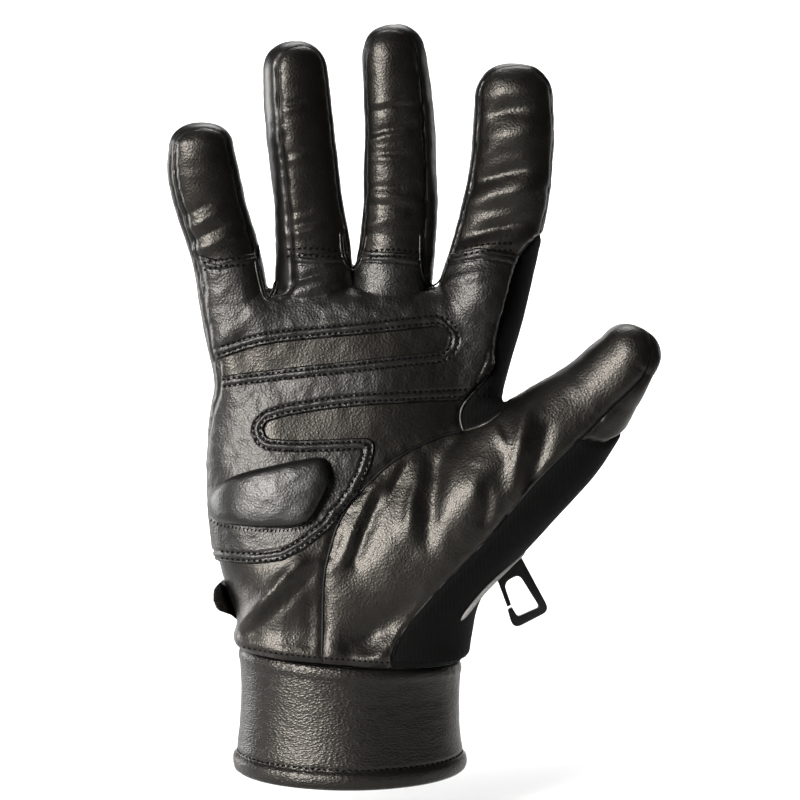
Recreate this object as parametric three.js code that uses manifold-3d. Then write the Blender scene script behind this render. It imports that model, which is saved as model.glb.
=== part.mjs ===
// A right-hand leather glove with a snap hook, as filled by a hand with its fingers spread.
// Millimetres. +Z runs from the wrist opening to the fingertips, the palm faces -Y and the thumb
// points to +X. The origin is the middle of the wrist opening, level with the hem's sides.
import * as THREE from "three";
import { mergeVertices } from "three/addons/utils/BufferGeometryUtils.js";
import Module from "manifold-3d";

const wasm = await Module();
wasm.setup();

// Driving sizes
const LEATHER = 1.5; // wall of the hand, fingers and thumb
const CUFF_WALL = 2.2; // two layers of leather
const GAP = 0.3; // between neighbouring pieces
const WRIST_SEAM = 37; // height of the seam where the cuff meets the hand
const HEM_LINE = 6; // height of the stitching above the hem
const OVERLAY = 1.0; // thickness of the palm reinforcement
const PAD_HEIGHT = 4.2; // how far the heel pad stands out of the reinforcement
const EDGE = 1; // from the reinforcement's edge to the seams around it
const FAR = 130; // beyond the glove, for cutters
const INNER_DROP = 6; // how far the hand's hollow runs on below the wrist seam
const CUFF_ROOM = 0.8; // cut away around the cuff's top
const STEP = { hand: 10, tube: 18 }; // most between two sections of the outside
const SIDES = {
  outside: { hand: 30, thumb: 16, finger: 12, cuff: 26 },
  inside: { hand: 16, thumb: 10, finger: 8, cuff: 26 },
};
const SQUARENESS = { hand: 2.5, finger: 2.25, thumb: 2.15, cuff: 2.15 };
const TIP_ROUND = { outside: [32, 58, 80], inside: [36, 72], power: 0.8 }; // sections of a tip, degrees

// The hand from the wrist seam to the knuckles: each row is one level section.
const HAND = [
  { z: 36.6, left: -35.4, right: 35.6, front: -23.6, back: 23.6 },
  { z: 39, left: -36, right: 36.8, front: -23.8, back: 23.2 },
  { z: 46, left: -35.2, right: 38.4, front: -22.6, back: 21.2 },
  { z: 56, left: -38.2, right: 39.8, front: -22.4, back: 19.4 },
  { z: 68, left: -41.6, right: 42.6, front: -21.8, back: 18.6 },
  { z: 84, left: -44, right: 45.4, front: -19.8, back: 17.6 },
  { z: 100, left: -44.6, right: 46.6, front: -17.4, back: 16.8 },
  { z: 113, left: -43.4, right: 46.8, front: -15.8, back: 15.8 },
  { z: 124, left: -42.2, right: 48, front: -14.8, back: 15 },
  { z: 137, left: -45, right: 52.4, front: -13.8, back: 13.6 },
  { z: 145, left: -44, right: 53.4, front: -11.6, back: 11.2 },
  { z: 149.6, left: -40.4, right: 50, front: -7.5, back: 7.5 },
];

// The slopes of the wrist: across at the seam, from front to back at the hem and at the seam.
const WRIST_TILT = { across: -0.067, hem: 0.115, seam: 0.085, ends: 62 };

// The cuff, a folded band: half is its half width, and its depth follows.
const CUFF_DEPTH = 0.66;
const CUFF = [
  { z: 0, half: 35.1, inside: true },
  { z: 1.3, half: 36.2, inside: false },
  { z: 4.6, half: 36.3, inside: false },
  { z: HEM_LINE, half: 35.3, inside: false },
  { z: 14, half: 34.4, inside: true },
  { z: 25, half: 34, inside: false },
  { z: 36.3, half: 34.7, inside: true },
];

// Fingers, base first: wide is across the finger, deep from palm to back.
// The palm leather's edges run along each finger where v, a share of the half depth, is left or right;
// the back leather's edges are at back_left and back_right.
const FINGERS = {
  little: {
    tip: 9,
    seam: { left: -0.72, right: -0.47, back_left: -0.72, back_right: 0.45 },
    rows: [
      { x: -31, y: 0, z: 118, wide: 21, deep: 23 },
      { x: -35.8, y: 0, z: 143, wide: 22, deep: 22 },
      { x: -38, y: -1, z: 157, wide: 21.2, deep: 20.4 },
      { x: -42.2, y: -3, z: 172, wide: 21.6, deep: 19.4 },
      { x: -45.2, y: -5.4, z: 184.5, wide: 21.8, deep: 19 },
      { x: -45.8, y: -6.8, z: 192, wide: 20.2, deep: 18.2 },
    ],
  },
  ring: {
    tip: 10.6,
    seam: { left: -0.85, right: -0.3, back_left: 0.4, back_right: 0.45 },
    rows: [
      { x: -9.5, y: 0.5, z: 122, wide: 23, deep: 25 },
      { x: -11, y: 0.5, z: 148, wide: 24.6, deep: 23.4 },
      { x: -11.6, y: 0, z: 162, wide: 23.4, deep: 21.6 },
      { x: -13.2, y: -1.2, z: 178, wide: 21.6, deep: 20.6 },
      { x: -15.4, y: -3.6, z: 199, wide: 21.2, deep: 20 },
      { x: -16.6, y: -5, z: 215.6, wide: 20.2, deep: 18.8 },
    ],
  },
  middle: {
    tip: 12,
    seam: { left: -0.4, right: -0.84, back_left: 0.45, back_right: 0.4 },
    rows: [
      { x: 12.5, y: 0.5, z: 124, wide: 24, deep: 25.6 },
      { x: 13.2, y: 0.5, z: 150, wide: 24.6, deep: 24 },
      { x: 14.9, y: 0, z: 164, wide: 23.6, deep: 22.2 },
      { x: 15.8, y: -0.8, z: 180, wide: 23.2, deep: 21.4 },
      { x: 15.3, y: -2.4, z: 203, wide: 22, deep: 20.6 },
      { x: 14, y: -4, z: 219.6, wide: 20.4, deep: 19.2 },
    ],
  },
  index: {
    tip: 12,
    seam: { left: -0.44, right: -0.63, back_left: 0.45, back_right: -0.63 },
    rows: [
      { x: 36.4, y: 0, z: 120, wide: 23, deep: 25 },
      { x: 40.6, y: 0, z: 144, wide: 28, deep: 24 },
      { x: 44.1, y: -0.4, z: 158, wide: 27.6, deep: 23 },
      { x: 45.6, y: -0.8, z: 164, wide: 27.2, deep: 22.8 },
      { x: 47.1, y: -1.3, z: 170, wide: 26.6, deep: 22.6 },
      { x: 49.2, y: -2.5, z: 181, wide: 26, deep: 22.2 },
      { x: 50.5, y: -3.8, z: 193, wide: 25.2, deep: 21.6 },
      { x: 50.7, y: -5.4, z: 207, wide: 24, deep: 20.4 },
    ],
  },
};

// The thumb, from inside the heel of the hand to its last joint.
const THUMB = {
  tip: 9.4,
  rows: [
    { x: 14, y: -2, z: 46, wide: 28, deep: 36 },
    { x: 20, y: -5, z: 55, wide: 34, deep: 37.5 },
    { x: 29.2, y: -7.6, z: 71.6, wide: 40.6, deep: 36 },
    { x: 46.6, y: -9.6, z: 89.8, wide: 40.4, deep: 32 },
    { x: 63, y: -10.4, z: 103.6, wide: 34.6, deep: 28 },
    { x: 74.6, y: -11.4, z: 115.6, wide: 27.2, deep: 24 },
    { x: 81.8, y: -12.6, z: 125.4, wide: 21.4, deep: 20.6 },
    { x: 84.4, y: -13.2, z: 128.8, wide: 18.8, deep: 19 },
  ],
};

// Main folds that stand out of the leather: a ridge from one point to another, seen from the palm.
const FOLDS = [
  { name: "wrist_diagonal", x0: -34, z0: 41, x1: -12, z1: 63, width: 5, height: 2.4 },
  { name: "wrist_second", x0: -12, z0: 42, x1: 6, z1: 56, width: 5, height: 1.2 },
  { name: "thumb_pucker_low", x0: -2, z0: 62, x1: 5, z1: 79, width: 3.6, height: 1.8 },
  { name: "thumb_pucker_mid", x0: 9, z0: 66, x1: 15, z1: 88, width: 4, height: 2.2 },
  { name: "thumb_pucker_top", x0: 24, z0: 72, x1: 28, z1: 94, width: 5, height: 2 },
  { name: "thumb_root", x0: 45, z0: 80, x1: 52, z1: 105, width: 4.5, height: 1.6 },
  { name: "index_lower", x0: 36, z0: 161, x1: 54, z1: 166, width: 3.4, height: 1.3 },
  { name: "index_upper", x0: 40, z0: 176, x1: 56, z1: 184, width: 3.6, height: 1.5 },
];

// The seam along the glove's sides, between the palm and the back.
const SIDE_SEAM = [
  { z: -20, y: -1 },
  { z: 60, y: -1 },
  { z: 110, y: -5.4 },
  { z: 121, y: -8.2 },
  { z: 260, y: -8.2 },
];

// Seams, as seen from the palm: [x, z].
const THUMB_CROTCH = [
  [110, 166],
  [80, 141],
  [62, 126.4],
  [49.4, 116.6],
  [46.4, 111.8],
];
const THUMB_SEAM = [
  [40.6, 107.6],
  [28, 104],
  [15.6, 97.8],
  [6.3, 90],
  [-1.6, 80.6],
  [-5.6, 69.7],
  [-7.6, 58],
  [-7.8, 30],
];
const THUMB_SIDE_SEAM = [
  [95, 146],
  [89.8, 129.5],
  [81, 112.4],
  [64, 94.6],
  [46, 73.7],
  [28, 56.4],
  [18, 43],
  [13.5, 30],
];
const THUMB_ROOT = [
  [47.4, 106],
  [50, 90],
  [54.6, 68],
  [56, 60],
];
const TIP_LEATHER = [
  [50, 104],
  [72, 103],
  [78, 101.8],
  [84, 105.4],
  [110, 108],
];
const GUSSET_SEAM = [
  [64, 167],
  [57.6, 165.4],
  [52.4, 160],
  [48.6, 150],
  [45.2, 136],
  [43.6, 124],
  [36.2, 115.2],
  [34, 110.4],
  [35.4, 103],
];
const GUSSET_BEYOND = [
  [50, 106],
  [80, 135],
  [80, 167],
];
const WEB_LINE = [
  [-FAR, 146],
  [-25.4, 141],
  [0.8, 147.6],
  [27, 144.4],
  [FAR, 146],
];
const GUSSET_DEPTH = 6; // how far back the gusset beside the index finger reaches

// The outline of the palm reinforcement without its slots, as seen from the palm.
const REINFORCEMENT = [
  [-60, 163],
  [-40, 158],
  [-23.6, 161.4],
  [-12, 159.8],
  [2, 161],
  [14, 160.4],
  [26.6, 159],
  [40, 161.6],
  [58, 158.4],
  [50.8, 152],
  [47.2, 140],
  [44, 126.5],
  [39, 114],
  [11, 107.6],
  [8.6, 102.4],
  [6.8, 95],
  [3, 87],
  [-6.3, 75.5],
  [-13.6, 69.7],
  [-20, 66.4],
  [-28, 65.2],
  [-60, 66],
];
// Each slot starts at its round end and runs off the reinforcement.
const UPPER_SLOT = [
  { x: 26.4, z: 133.6, half: 3.8 },
  { x: 5, z: 131.2, half: 3.8 },
  { x: -24, z: 128.2, half: 3.9 },
  { x: -40, z: 125, half: 2.7 },
  { x: -60, z: 121.6, half: 2 },
];
const LOWER_SLOT = [
  { x: -23, z: 106, half: 2.8 },
  { x: -14.6, z: 106.8, half: 4 },
  { x: 8, z: 108.6, half: 4.9 },
  { x: 60, z: 111, half: 5 },
];

// The teardrop pad on the heel of the hand, as seen from the palm.
const PAD = [
  [-43.6, 85],
  [-36, 91.4],
  [-22, 95.4],
  [-8.4, 97.6],
  [-5.2, 94],
  [-5.4, 89.6],
  [-10, 80.6],
  [-14.4, 77.2],
  [-24, 76.4],
  [-38, 77.4],
  [-43, 79.6],
];
const PAD_SIDES = 24;
const PAD_DOME = [
  { inset: 0, rise: -2 },
  { inset: 0, rise: 1.2 },
  { inset: 0.06, rise: 2.4 },
  { inset: 0.2, rise: 3.4 },
  { inset: 0.5, rise: PAD_HEIGHT },
];

// The wrist strap across the back runs round the wrist by some degrees from the thumb's side,
// and its round end lifts off.
const STRAP = {
  low: 47,
  high: 58.4,
  thick: 1.8,
  stand_off: 0.4,
  from: 28,
  to: 196,
  step: 8,
  lift_from: 150,
  end_lift: 3.2,
};
const STRAP_END = [
  [50, 44],
  [-30, 44],
  [-36.4, 48.6],
  [-40.2, 50.2],
  [-41.7, 52.4],
  [-41.9, 55.2],
  [-41.1, 57.6],
  [-36, 62],
  [50, 62],
];

// The snap hook in its own plane, where across is to the right and along is up. A corner has a radius.
const HOOK = {
  thick: 3,
  x: 54,
  y: 10,
  z: 54,
  lean: 0.492,
  outline: [
    { across: 5.4, along: 19, radius: 1.6 },
    { across: -5.2, along: 19, radius: 1.6 },
    { across: -4.9, along: 6.2, radius: 0.6 },
    { across: -6.2, along: -2.4, radius: 0.6 },
    { across: -7.8, along: -9.4, radius: 3.2 },
    { across: 5.4, along: -9.6, radius: 2.8 },
  ],
  eye: [
    { across: -3.4, along: 5.1, radius: 2.4 },
    { across: 2.1, along: 5.2, radius: 2 },
    { across: 2.9, along: -7, radius: 1.2 },
    { across: -4.6, along: -6.4, radius: 0.9 },
    { across: -4.6, along: -2.4, radius: 0.6 },
  ],
  gate_slit: { across: -5.6, half: 1.8, low: -2.8, high: -2.3 },
  tape_slot: { across: 0, half: 4, low: 14.6, high: 17.2 },
};
const TAPE = { thick: 1.1, half: 3.5, tail: 9 };

// A thin piping beside the fabric of the thumb, down to the wrist.
const PIPING_RADIUS = 0.9;
const PIPING = [
  { x: 54.4, y: -9, z: 68.9 },
  { x: 50, y: -13, z: 65.4 },
  { x: 46, y: -14.3, z: 61.6 },
  { x: 42, y: -14.9, z: 57.6 },
  { x: 39, y: -14.9, z: 54.2 },
  { x: 36.4, y: -15.2, z: 51 },
  { x: 33.4, y: -15.3, z: 47.4 },
];

// Converts a three.js geometry, or bare vertices and triangles, to a solid that can be joined and cut.
function solidOf(geometry) {
  const bare = new THREE.BufferGeometry();
  bare.setAttribute("position", geometry.getAttribute("position").clone());
  bare.setIndex(geometry.index);
  const merged = mergeVertices(bare, 1e-4);
  const vertProperties = new Float32Array(merged.attributes.position.array);
  const triVerts = new Uint32Array(merged.index.array);
  const made = new wasm.Manifold(new wasm.Mesh({ numProp: 3, vertProperties, triVerts }));
  if (made.volume() > 0) return made;
  for (let i = 0; i < triVerts.length; i += 3) {
    [triVerts[i + 1], triVerts[i + 2]] = [triVerts[i + 2], triVerts[i + 1]];
  }
  return new wasm.Manifold(new wasm.Mesh({ numProp: 3, vertProperties, triVerts }));
}

// Skins a row of equal rings and closes both ends with a fan.
function loft(rings) {
  const sides = rings[0].length;
  const points = rings.flat();
  const index = [];
  for (let r = 0; r + 1 < rings.length; r++) {
    for (let s = 0; s < sides; s++) {
      const a = r * sides + s;
      const b = r * sides + ((s + 1) % sides);
      index.push(a, b, b + sides, a, b + sides, a + sides);
    }
  }
  for (const [first, flip] of [
    [0, true],
    [(rings.length - 1) * sides, false],
  ]) {
    const middle = new THREE.Vector3();
    for (let s = 0; s < sides; s++) middle.addScaledVector(points[first + s], 1 / sides);
    const hub = points.push(middle) - 1;
    for (let s = 0; s < sides; s++) {
      const a = first + s;
      const b = first + ((s + 1) % sides);
      index.push(...(flip ? [hub, b, a] : [hub, a, b]));
    }
  }
  const geometry = new THREE.BufferGeometry().setFromPoints(points);
  return solidOf(geometry.setIndex(index));
}

// A rounded-square section: one point at angle t, as shares of the half sizes.
function roundedSquare(t, squareness) {
  const power = 2 / squareness;
  const across = Math.sign(Math.cos(t)) * Math.abs(Math.cos(t)) ** power;
  const depth = Math.sign(Math.sin(t)) * Math.abs(Math.sin(t)) ** power;
  return { across, depth };
}

// Adds rows between the given ones, along a smooth curve through each column.
function denser(rows, step) {
  const made = [rows[0]];
  for (let i = 0; i + 1 < rows.length; i++) {
    const [a, b] = [rows[i], rows[i + 1]];
    const before = rows[i - 1] ?? a;
    const after = rows[i + 2] ?? b;
    const parts = Math.ceil((b.z - a.z) / step);
    for (let k = 1; k <= parts; k++) {
      const t = k / parts;
      const row = {};
      for (const column of Object.keys(a)) {
        const start = (b[column] - before[column]) / 2;
        const end = (after[column] - a[column]) / 2;
        const turn = 2 * t ** 3 - 3 * t ** 2;
        row[column] = (1 + turn) * a[column] - turn * b[column];
        row[column] += (t ** 3 - 2 * t ** 2 + t) * start + (t ** 3 - t ** 2) * end;
      }
      made.push(row);
    }
  }
  return made;
}

// The wrist's seam and hem aren't level: how far a point near the wrist moves up.
function wristSlope(x, y, z) {
  const toSeam = THREE.MathUtils.clamp(z / WRIST_SEAM, 0, 1);
  const fade = 1 - THREE.MathUtils.smoothstep(z, WRIST_SEAM, WRIST_TILT.ends);
  const across = WRIST_TILT.across * toSeam;
  const depth = THREE.MathUtils.lerp(WRIST_TILT.hem, WRIST_TILT.seam, toSeam);
  return (across * x + depth * y) * fade;
}

// How far the folds push a point of the palm side out.
function foldHeight(x, z) {
  let height = 0;
  for (const f of FOLDS) {
    const dx = f.x1 - f.x0;
    const dz = f.z1 - f.z0;
    const t = ((x - f.x0) * dx + (z - f.z0) * dz) / (dx * dx + dz * dz);
    const along = THREE.MathUtils.clamp(t, 0, 1);
    const away = Math.hypot(x - f.x0 - along * dx, z - f.z0 - along * dz);
    height += f.height * Math.exp(-((away / f.width) ** 2));
  }
  return height;
}

function levelRing(row, grow, squareness, sides, folded) {
  const middleX = (row.left + row.right) / 2;
  const half = (row.right - row.left) / 2 + grow;
  const ring = [];
  for (let s = 0; s < sides; s++) {
    const p = roundedSquare((s * 2 * Math.PI) / sides, squareness);
    const depth = p.depth < 0 ? -row.front + grow : row.back + grow;
    const x = middleX + half * p.across;
    let y = depth * p.depth;
    if (folded && p.depth < 0) y -= foldHeight(x, row.z) * -p.depth;
    ring.push(new THREE.Vector3(x, y, row.z + wristSlope(x, y, row.z)));
  }
  return ring;
}

// The palm and back as one solid, grown or shrunk by some millimetres.
function handLoft(grow) {
  const inside = grow < 0;
  const rows = inside ? HAND.map((row) => ({ ...row })) : denser(HAND, STEP.hand);
  if (inside) rows.unshift({ ...rows[0], z: rows[0].z - INNER_DROP });
  rows.at(-1).z += grow;
  const sides = inside ? SIDES.inside.hand : SIDES.outside.hand;
  return loft(rows.map((row) => levelRing(row, grow, SQUARENESS.hand, sides, !inside)));
}

function cuffLoft(grow, stretch) {
  const used = CUFF.filter(({ inside }) => grow >= 0 || inside);
  const rows = used.map(({ z, half }) => {
    const depth = half * CUFF_DEPTH;
    return { z, left: -half, right: half, front: -depth, back: depth };
  });
  rows[0].z -= stretch;
  rows.at(-1).z += stretch;
  return loft(rows.map((row) => levelRing(row, grow, SQUARENESS.cuff, SIDES.outside.cuff, false)));
}

// Frames along a finger or the thumb: middle, tangent, across and depth for each row.
function framesOf(rows) {
  const at = (i) => new THREE.Vector3(rows[i].x, rows[i].y, rows[i].z);
  return rows.map((row, i) => {
    const before = at(Math.max(i - 1, 0));
    const after = at(Math.min(i + 1, rows.length - 1));
    const along = after.sub(before).normalize();
    const across = new THREE.Vector3(along.z, 0, -along.x).normalize();
    const depth = new THREE.Vector3().crossVectors(along, across);
    return { middle: at(i), along, across, depth, wide: row.wide, deep: row.deep };
  });
}

// The row frames, then the same frame moved on and narrowed to round the tip off.
function tubeFrames({ rows, tip }, grow) {
  const frames = framesOf(grow < 0 ? rows : denser(rows, STEP.tube)).map((f) => ({ ...f, narrow: 1 }));
  const last = frames.at(-1);
  for (const degrees of grow < 0 ? TIP_ROUND.inside : TIP_ROUND.outside) {
    const t = THREE.MathUtils.degToRad(degrees);
    const middle = last.middle.clone().addScaledVector(last.along, (tip + grow) * Math.sin(t));
    frames.push({ ...last, middle, narrow: Math.cos(t) ** TIP_ROUND.power });
  }
  return frames;
}

function tubeLoft(tube, grow, squareness, sides) {
  const rings = tubeFrames(tube, grow).map((f) => {
    const ring = [];
    for (let s = 0; s < sides; s++) {
      const p = roundedSquare(((s + 0.5) * 2 * Math.PI) / sides, squareness);
      const u = (f.wide / 2 + grow) * f.narrow * p.across;
      const v = (f.deep / 2 + grow) * f.narrow * p.depth;
      const point = f.middle.clone().addScaledVector(f.across, u).addScaledVector(f.depth, v);
      if (grow >= 0 && p.depth < 0) point.y -= foldHeight(point.x, point.z) * -p.depth * f.narrow;
      ring.push(point);
    }
    return ring;
  });
  return loft(rings);
}

// The whole glove above the wrist seam as one solid, grown or shrunk.
function gloveSolid(grow) {
  const sides = grow < 0 ? SIDES.inside : SIDES.outside;
  let made = handLoft(grow).add(tubeLoft(THUMB, grow, SQUARENESS.thumb, sides.thumb));
  for (const finger of Object.values(FINGERS)) {
    made = made.add(tubeLoft(finger, grow, SQUARENESS.finger, sides.finger));
  }
  return made;
}

// A prism along Y over an outline of [x, z] points.
function prism(outline, front = -FAR, back = FAR) {
  const shape = new THREE.Shape(outline.map(([x, z]) => new THREE.Vector2(x, z)));
  const made = new THREE.ExtrudeGeometry(shape, { depth: back - front, bevelEnabled: false });
  made.rotateX(Math.PI / 2).translate(0, back, 0);
  return solidOf(made);
}

// The same line moved sideways, to its left as it is drawn.
function shifted(line, distance) {
  return line.map(([x, z], i) => {
    const [x0, z0] = line[Math.max(i - 1, 0)];
    const [x1, z1] = line[Math.min(i + 1, line.length - 1)];
    const length = Math.hypot(x1 - x0, z1 - z0);
    return [x - ((z1 - z0) / length) * distance, z + ((x1 - x0) / length) * distance];
  });
}

// The front half of the glove, up to the side seam, with the seam moved back by some millimetres.
function frontHalf(shift) {
  const edge = SIDE_SEAM.map(({ y, z }) => new THREE.Vector2(z, y + shift));
  const [bottom, top] = [SIDE_SEAM[0].z, SIDE_SEAM.at(-1).z];
  const outline = [...edge, new THREE.Vector2(top, -FAR), new THREE.Vector2(bottom, -FAR)];
  const made = new THREE.ExtrudeGeometry(new THREE.Shape(outline), { depth: 2 * FAR, bevelEnabled: false });
  // The outline is drawn as (z, y) and extruded along -x.
  const turn = new THREE.Matrix4().set(0, 0, -1, FAR, 0, 1, 0, 0, 1, 0, 0, 0, 0, 0, 0, 1);
  return solidOf(made.applyMatrix4(turn));
}

// How far a finger's cutter reaches out of the finger's middle, beside it and beyond its tip.
const CUTTER = { reach: 15, beside: 2.5, beyond: 4 };

// A cutter along one finger, in front of its palm seams or behind its back seams.
function fingerCutter(finger, side, shift) {
  const { reach, beside, beyond } = CUTTER;
  const frames = framesOf(finger.rows);
  const last = frames.at(-1);
  const end = last.middle.clone().addScaledVector(last.along, finger.tip + beyond);
  frames.push({ ...last, middle: end });
  const { left: palmLeft, right: palmRight, back_left: backLeft, back_right: backRight } = finger.seam;
  const edges = side < 0 ? [palmLeft, palmRight] : [backLeft, backRight];
  const rings = frames.map((f) => {
    const half = f.wide / 2 + beside;
    const [left, right] = edges.map((share) => (share * f.deep) / 2 + shift);
    const corners = [
      [-half, side * reach],
      [half, side * reach],
      [half, right],
      [-half, left],
    ];
    const at = (u, v) => f.middle.clone().addScaledVector(f.across, u).addScaledVector(f.depth, v);
    return corners.map(([u, v]) => at(u, v));
  });
  return loft(rings);
}

function fingerCutters(side, grow) {
  return Object.values(FINGERS)
    .map((finger) => fingerCutter(finger, side, -side * grow))
    .reduce((all, one) => all.add(one));
}

// The largest body of a solid, without the crumbs that a cut can leave.
function largest(solid) {
  const bodies = solid.decompose();
  return bodies.reduce((best, body) => (body.volume() > best.volume() ? body : best));
}

const IN = -GAP / 2;
const OUT = GAP / 2;
const skin = gloveSolid(0).subtract(gloveSolid(-LEATHER)).subtract(cuffLoft(CUFF_ROOM, 0));

// Regions seen from the palm. Each can grow: a piece fills its region grown by IN,
// and its neighbours are cut by the same region grown by OUT.
function rightOf(line, grow) {
  const [top, bottom] = [line[0][1], line.at(-1)[1]];
  return prism([...shifted(line, -grow), [FAR, bottom], [FAR, top]]);
}

const rightOfSide = (grow) => rightOf(THUMB_SIDE_SEAM, grow);
const rightOfRoot = (grow) => rightOf([...THUMB_CROTCH, ...THUMB_ROOT], grow);
const belowWebs = (grow) => prism([[-FAR, -FAR], ...shifted(WEB_LINE, grow), [FAR, -FAR]]);
const gussetArea = (grow) => prism(shifted([...GUSSET_SEAM, ...GUSSET_BEYOND], -grow));

function aboveTipLine(grow) {
  const [left, right] = [TIP_LEATHER[0][0], TIP_LEATHER.at(-1)[0]];
  return prism([...shifted(TIP_LEATHER, -grow), [right, 2 * FAR], [left, 2 * FAR]]);
}

function beforeSide(grow) {
  const whole = [
    [-FAR, -FAR],
    [FAR, -FAR],
    [FAR, 2 * FAR],
    [-FAR, 2 * FAR],
  ];
  return prism(whole, -FAR, GUSSET_DEPTH + grow);
}

function thumbFront(grow) {
  const left = shifted([...THUMB_CROTCH, ...THUMB_SEAM], -grow);
  const right = shifted(THUMB_SIDE_SEAM, grow);
  return prism([...left, ...right.reverse()]);
}

function palmPanel() {
  const front = frontHalf(IN).intersect(belowWebs(IN)).add(fingerCutters(-1, IN));
  return skin
    .intersect(front)
    .subtract(fingerCutters(1, OUT))
    .subtract(thumbFront(OUT))
    .subtract(rightOfSide(OUT))
    .subtract(gussetArea(OUT));
}

function backPanel() {
  const hand = belowWebs(IN).subtract(frontHalf(OUT)).subtract(fingerCutters(-1, OUT));
  const back = hand.add(fingerCutters(1, IN));
  const side = gussetArea(OUT).intersect(beforeSide(OUT));
  return skin.intersect(back).subtract(rightOfRoot(OUT)).subtract(side);
}

function indexGusset() {
  return skin
    .intersect(gussetArea(IN))
    .intersect(beforeSide(IN))
    .subtract(thumbFront(OUT))
    .subtract(rightOfRoot(OUT));
}

function thumbPanel() {
  return skin.intersect(thumbFront(IN)).intersect(frontHalf(IN));
}

function thumbBack() {
  const low = rightOfSide(IN).intersect(frontHalf(IN));
  const frontLeather = thumbFront(OUT).intersect(frontHalf(OUT));
  return skin.intersect(rightOfRoot(IN).add(low)).subtract(frontLeather);
}

// The strip between two fingers: down one side, through the crotch and up the other.
function fourchette(left, right) {
  const middles = (finger) => finger.rows.map((row) => [row.x, row.z]);
  const leftLine = [...middles(left), [left.rows.at(-1).x, 2 * FAR]];
  const rightLine = [...middles(right), [right.rows.at(-1).x, 2 * FAR]];
  return skin
    .intersect(prism([...leftLine.reverse(), ...rightLine]))
    .subtract(belowWebs(OUT))
    .subtract(fingerCutters(-1, OUT))
    .subtract(fingerCutters(1, OUT));
}

// A tapered slot's outline: a round end, then its two sides.
function slotOutline(rows) {
  const [end, next] = rows;
  const away = Math.sign(end.x - next.x);
  const outline = rows.map(({ x, z, half }) => [x, z + half]).reverse();
  for (const degrees of [60, 20, -20, -60]) {
    const t = THREE.MathUtils.degToRad(degrees);
    outline.push([end.x + away * end.half * Math.cos(t), end.z + end.half * Math.sin(t)]);
  }
  for (const { x, z, half } of rows) outline.push([x, z - half]);
  return outline;
}

function reinforcement() {
  const layer = gloveSolid(GAP + OVERLAY).subtract(gloveSolid(GAP));
  const front = frontHalf(-EDGE).intersect(belowWebs(-EDGE)).add(fingerCutters(-1, -EDGE));
  return layer
    .intersect(prism(REINFORCEMENT))
    .intersect(front)
    .subtract(prism(slotOutline(UPPER_SLOT)))
    .subtract(prism(slotOutline(LOWER_SLOT)))
    .subtract(thumbFront(EDGE))
    .subtract(gussetArea(EDGE));
}

// A row of the hand at any height.
function handRow(z) {
  const above = Math.max(HAND.findIndex((row) => row.z > z), 1);
  const [a, b] = [HAND[above - 1], HAND[above]];
  const t = (z - a.z) / (b.z - a.z);
  const row = {};
  for (const column of Object.keys(a)) row[column] = THREE.MathUtils.lerp(a[column], b[column], t);
  return row;
}

// A point on the palm, seen at x and z, moved out by rise.
function onPalm(x, z, rise) {
  const row = handRow(z);
  const half = (row.right - row.left) / 2;
  const across = THREE.MathUtils.clamp((x - (row.left + row.right) / 2) / half, -1, 1);
  const depth = (1 - Math.abs(across) ** SQUARENESS.hand) ** (1 / SQUARENESS.hand);
  return new THREE.Vector3(x, row.front * depth - rise, z);
}

// The pad is a dome: its outline shrinks as it rises out of the reinforcement.
function heelPad() {
  const corners = PAD.map(([x, z]) => new THREE.Vector3(x, 0, z));
  const outline = new THREE.CatmullRomCurve3(corners, true).getSpacedPoints(PAD_SIDES).slice(0, -1);
  const middle = new THREE.Vector3();
  for (const point of outline) middle.addScaledVector(point, 1 / outline.length);
  const base = 2 * GAP + OVERLAY;
  const rings = PAD_DOME.map(({ inset, rise }) =>
    outline.map((point) => {
      const { x, z } = point.clone().lerp(middle, inset);
      return onPalm(x, z, base + rise);
    }),
  );
  return loft(rings).subtract(gloveSolid(base));
}

function cuffBand() {
  return cuffLoft(0, 0).subtract(cuffLoft(-CUFF_WALL, 3));
}

// A strap across the back of the wrist, whose round end stands off the little-finger side.
function wristStrap() {
  const row = handRow((STRAP.low + STRAP.high) / 2);
  const ringAt = (grow) => {
    const points = [];
    for (let degrees = STRAP.from; degrees <= STRAP.to; degrees += STRAP.step) {
      const lift = STRAP.end_lift * THREE.MathUtils.smoothstep(degrees, STRAP.lift_from, STRAP.to);
      const p = roundedSquare(THREE.MathUtils.degToRad(degrees), SQUARENESS.hand);
      const wide = (row.right - row.left) / 2 + grow + lift;
      const depth = p.depth < 0 ? -row.front + grow : row.back + grow;
      points.push(new THREE.Vector2((row.left + row.right) / 2 + wide * p.across, depth * p.depth));
    }
    return points;
  };
  const near = ringAt(STRAP.stand_off);
  const far = ringAt(STRAP.stand_off + STRAP.thick);
  const shape = new THREE.Shape([...far, ...near.reverse()]);
  const band = new THREE.ExtrudeGeometry(shape, { depth: STRAP.high - STRAP.low, bevelEnabled: false });
  const made = solidOf(band.translate(0, 0, STRAP.low));
  return made.intersect(prism(STRAP_END)).subtract(gloveSolid(STRAP.stand_off));
}

// An outline whose corners are rounded.
function roundedOutline(path, corners) {
  const at = (i) => {
    const { across, along } = corners[(i + corners.length) % corners.length];
    return new THREE.Vector2(across, along);
  };
  const towards = (i, j) => at(i).add(at(j).sub(at(i)).setLength(corners[i].radius));
  corners.forEach((corner, i) => {
    const start = towards(i, i - 1);
    const end = towards(i, i + 1);
    if (i === 0) path.moveTo(start.x, start.y);
    else path.lineTo(start.x, start.y);
    path.quadraticCurveTo(corner.across, corner.along, end.x, end.y);
  });
  return path;
}

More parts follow.
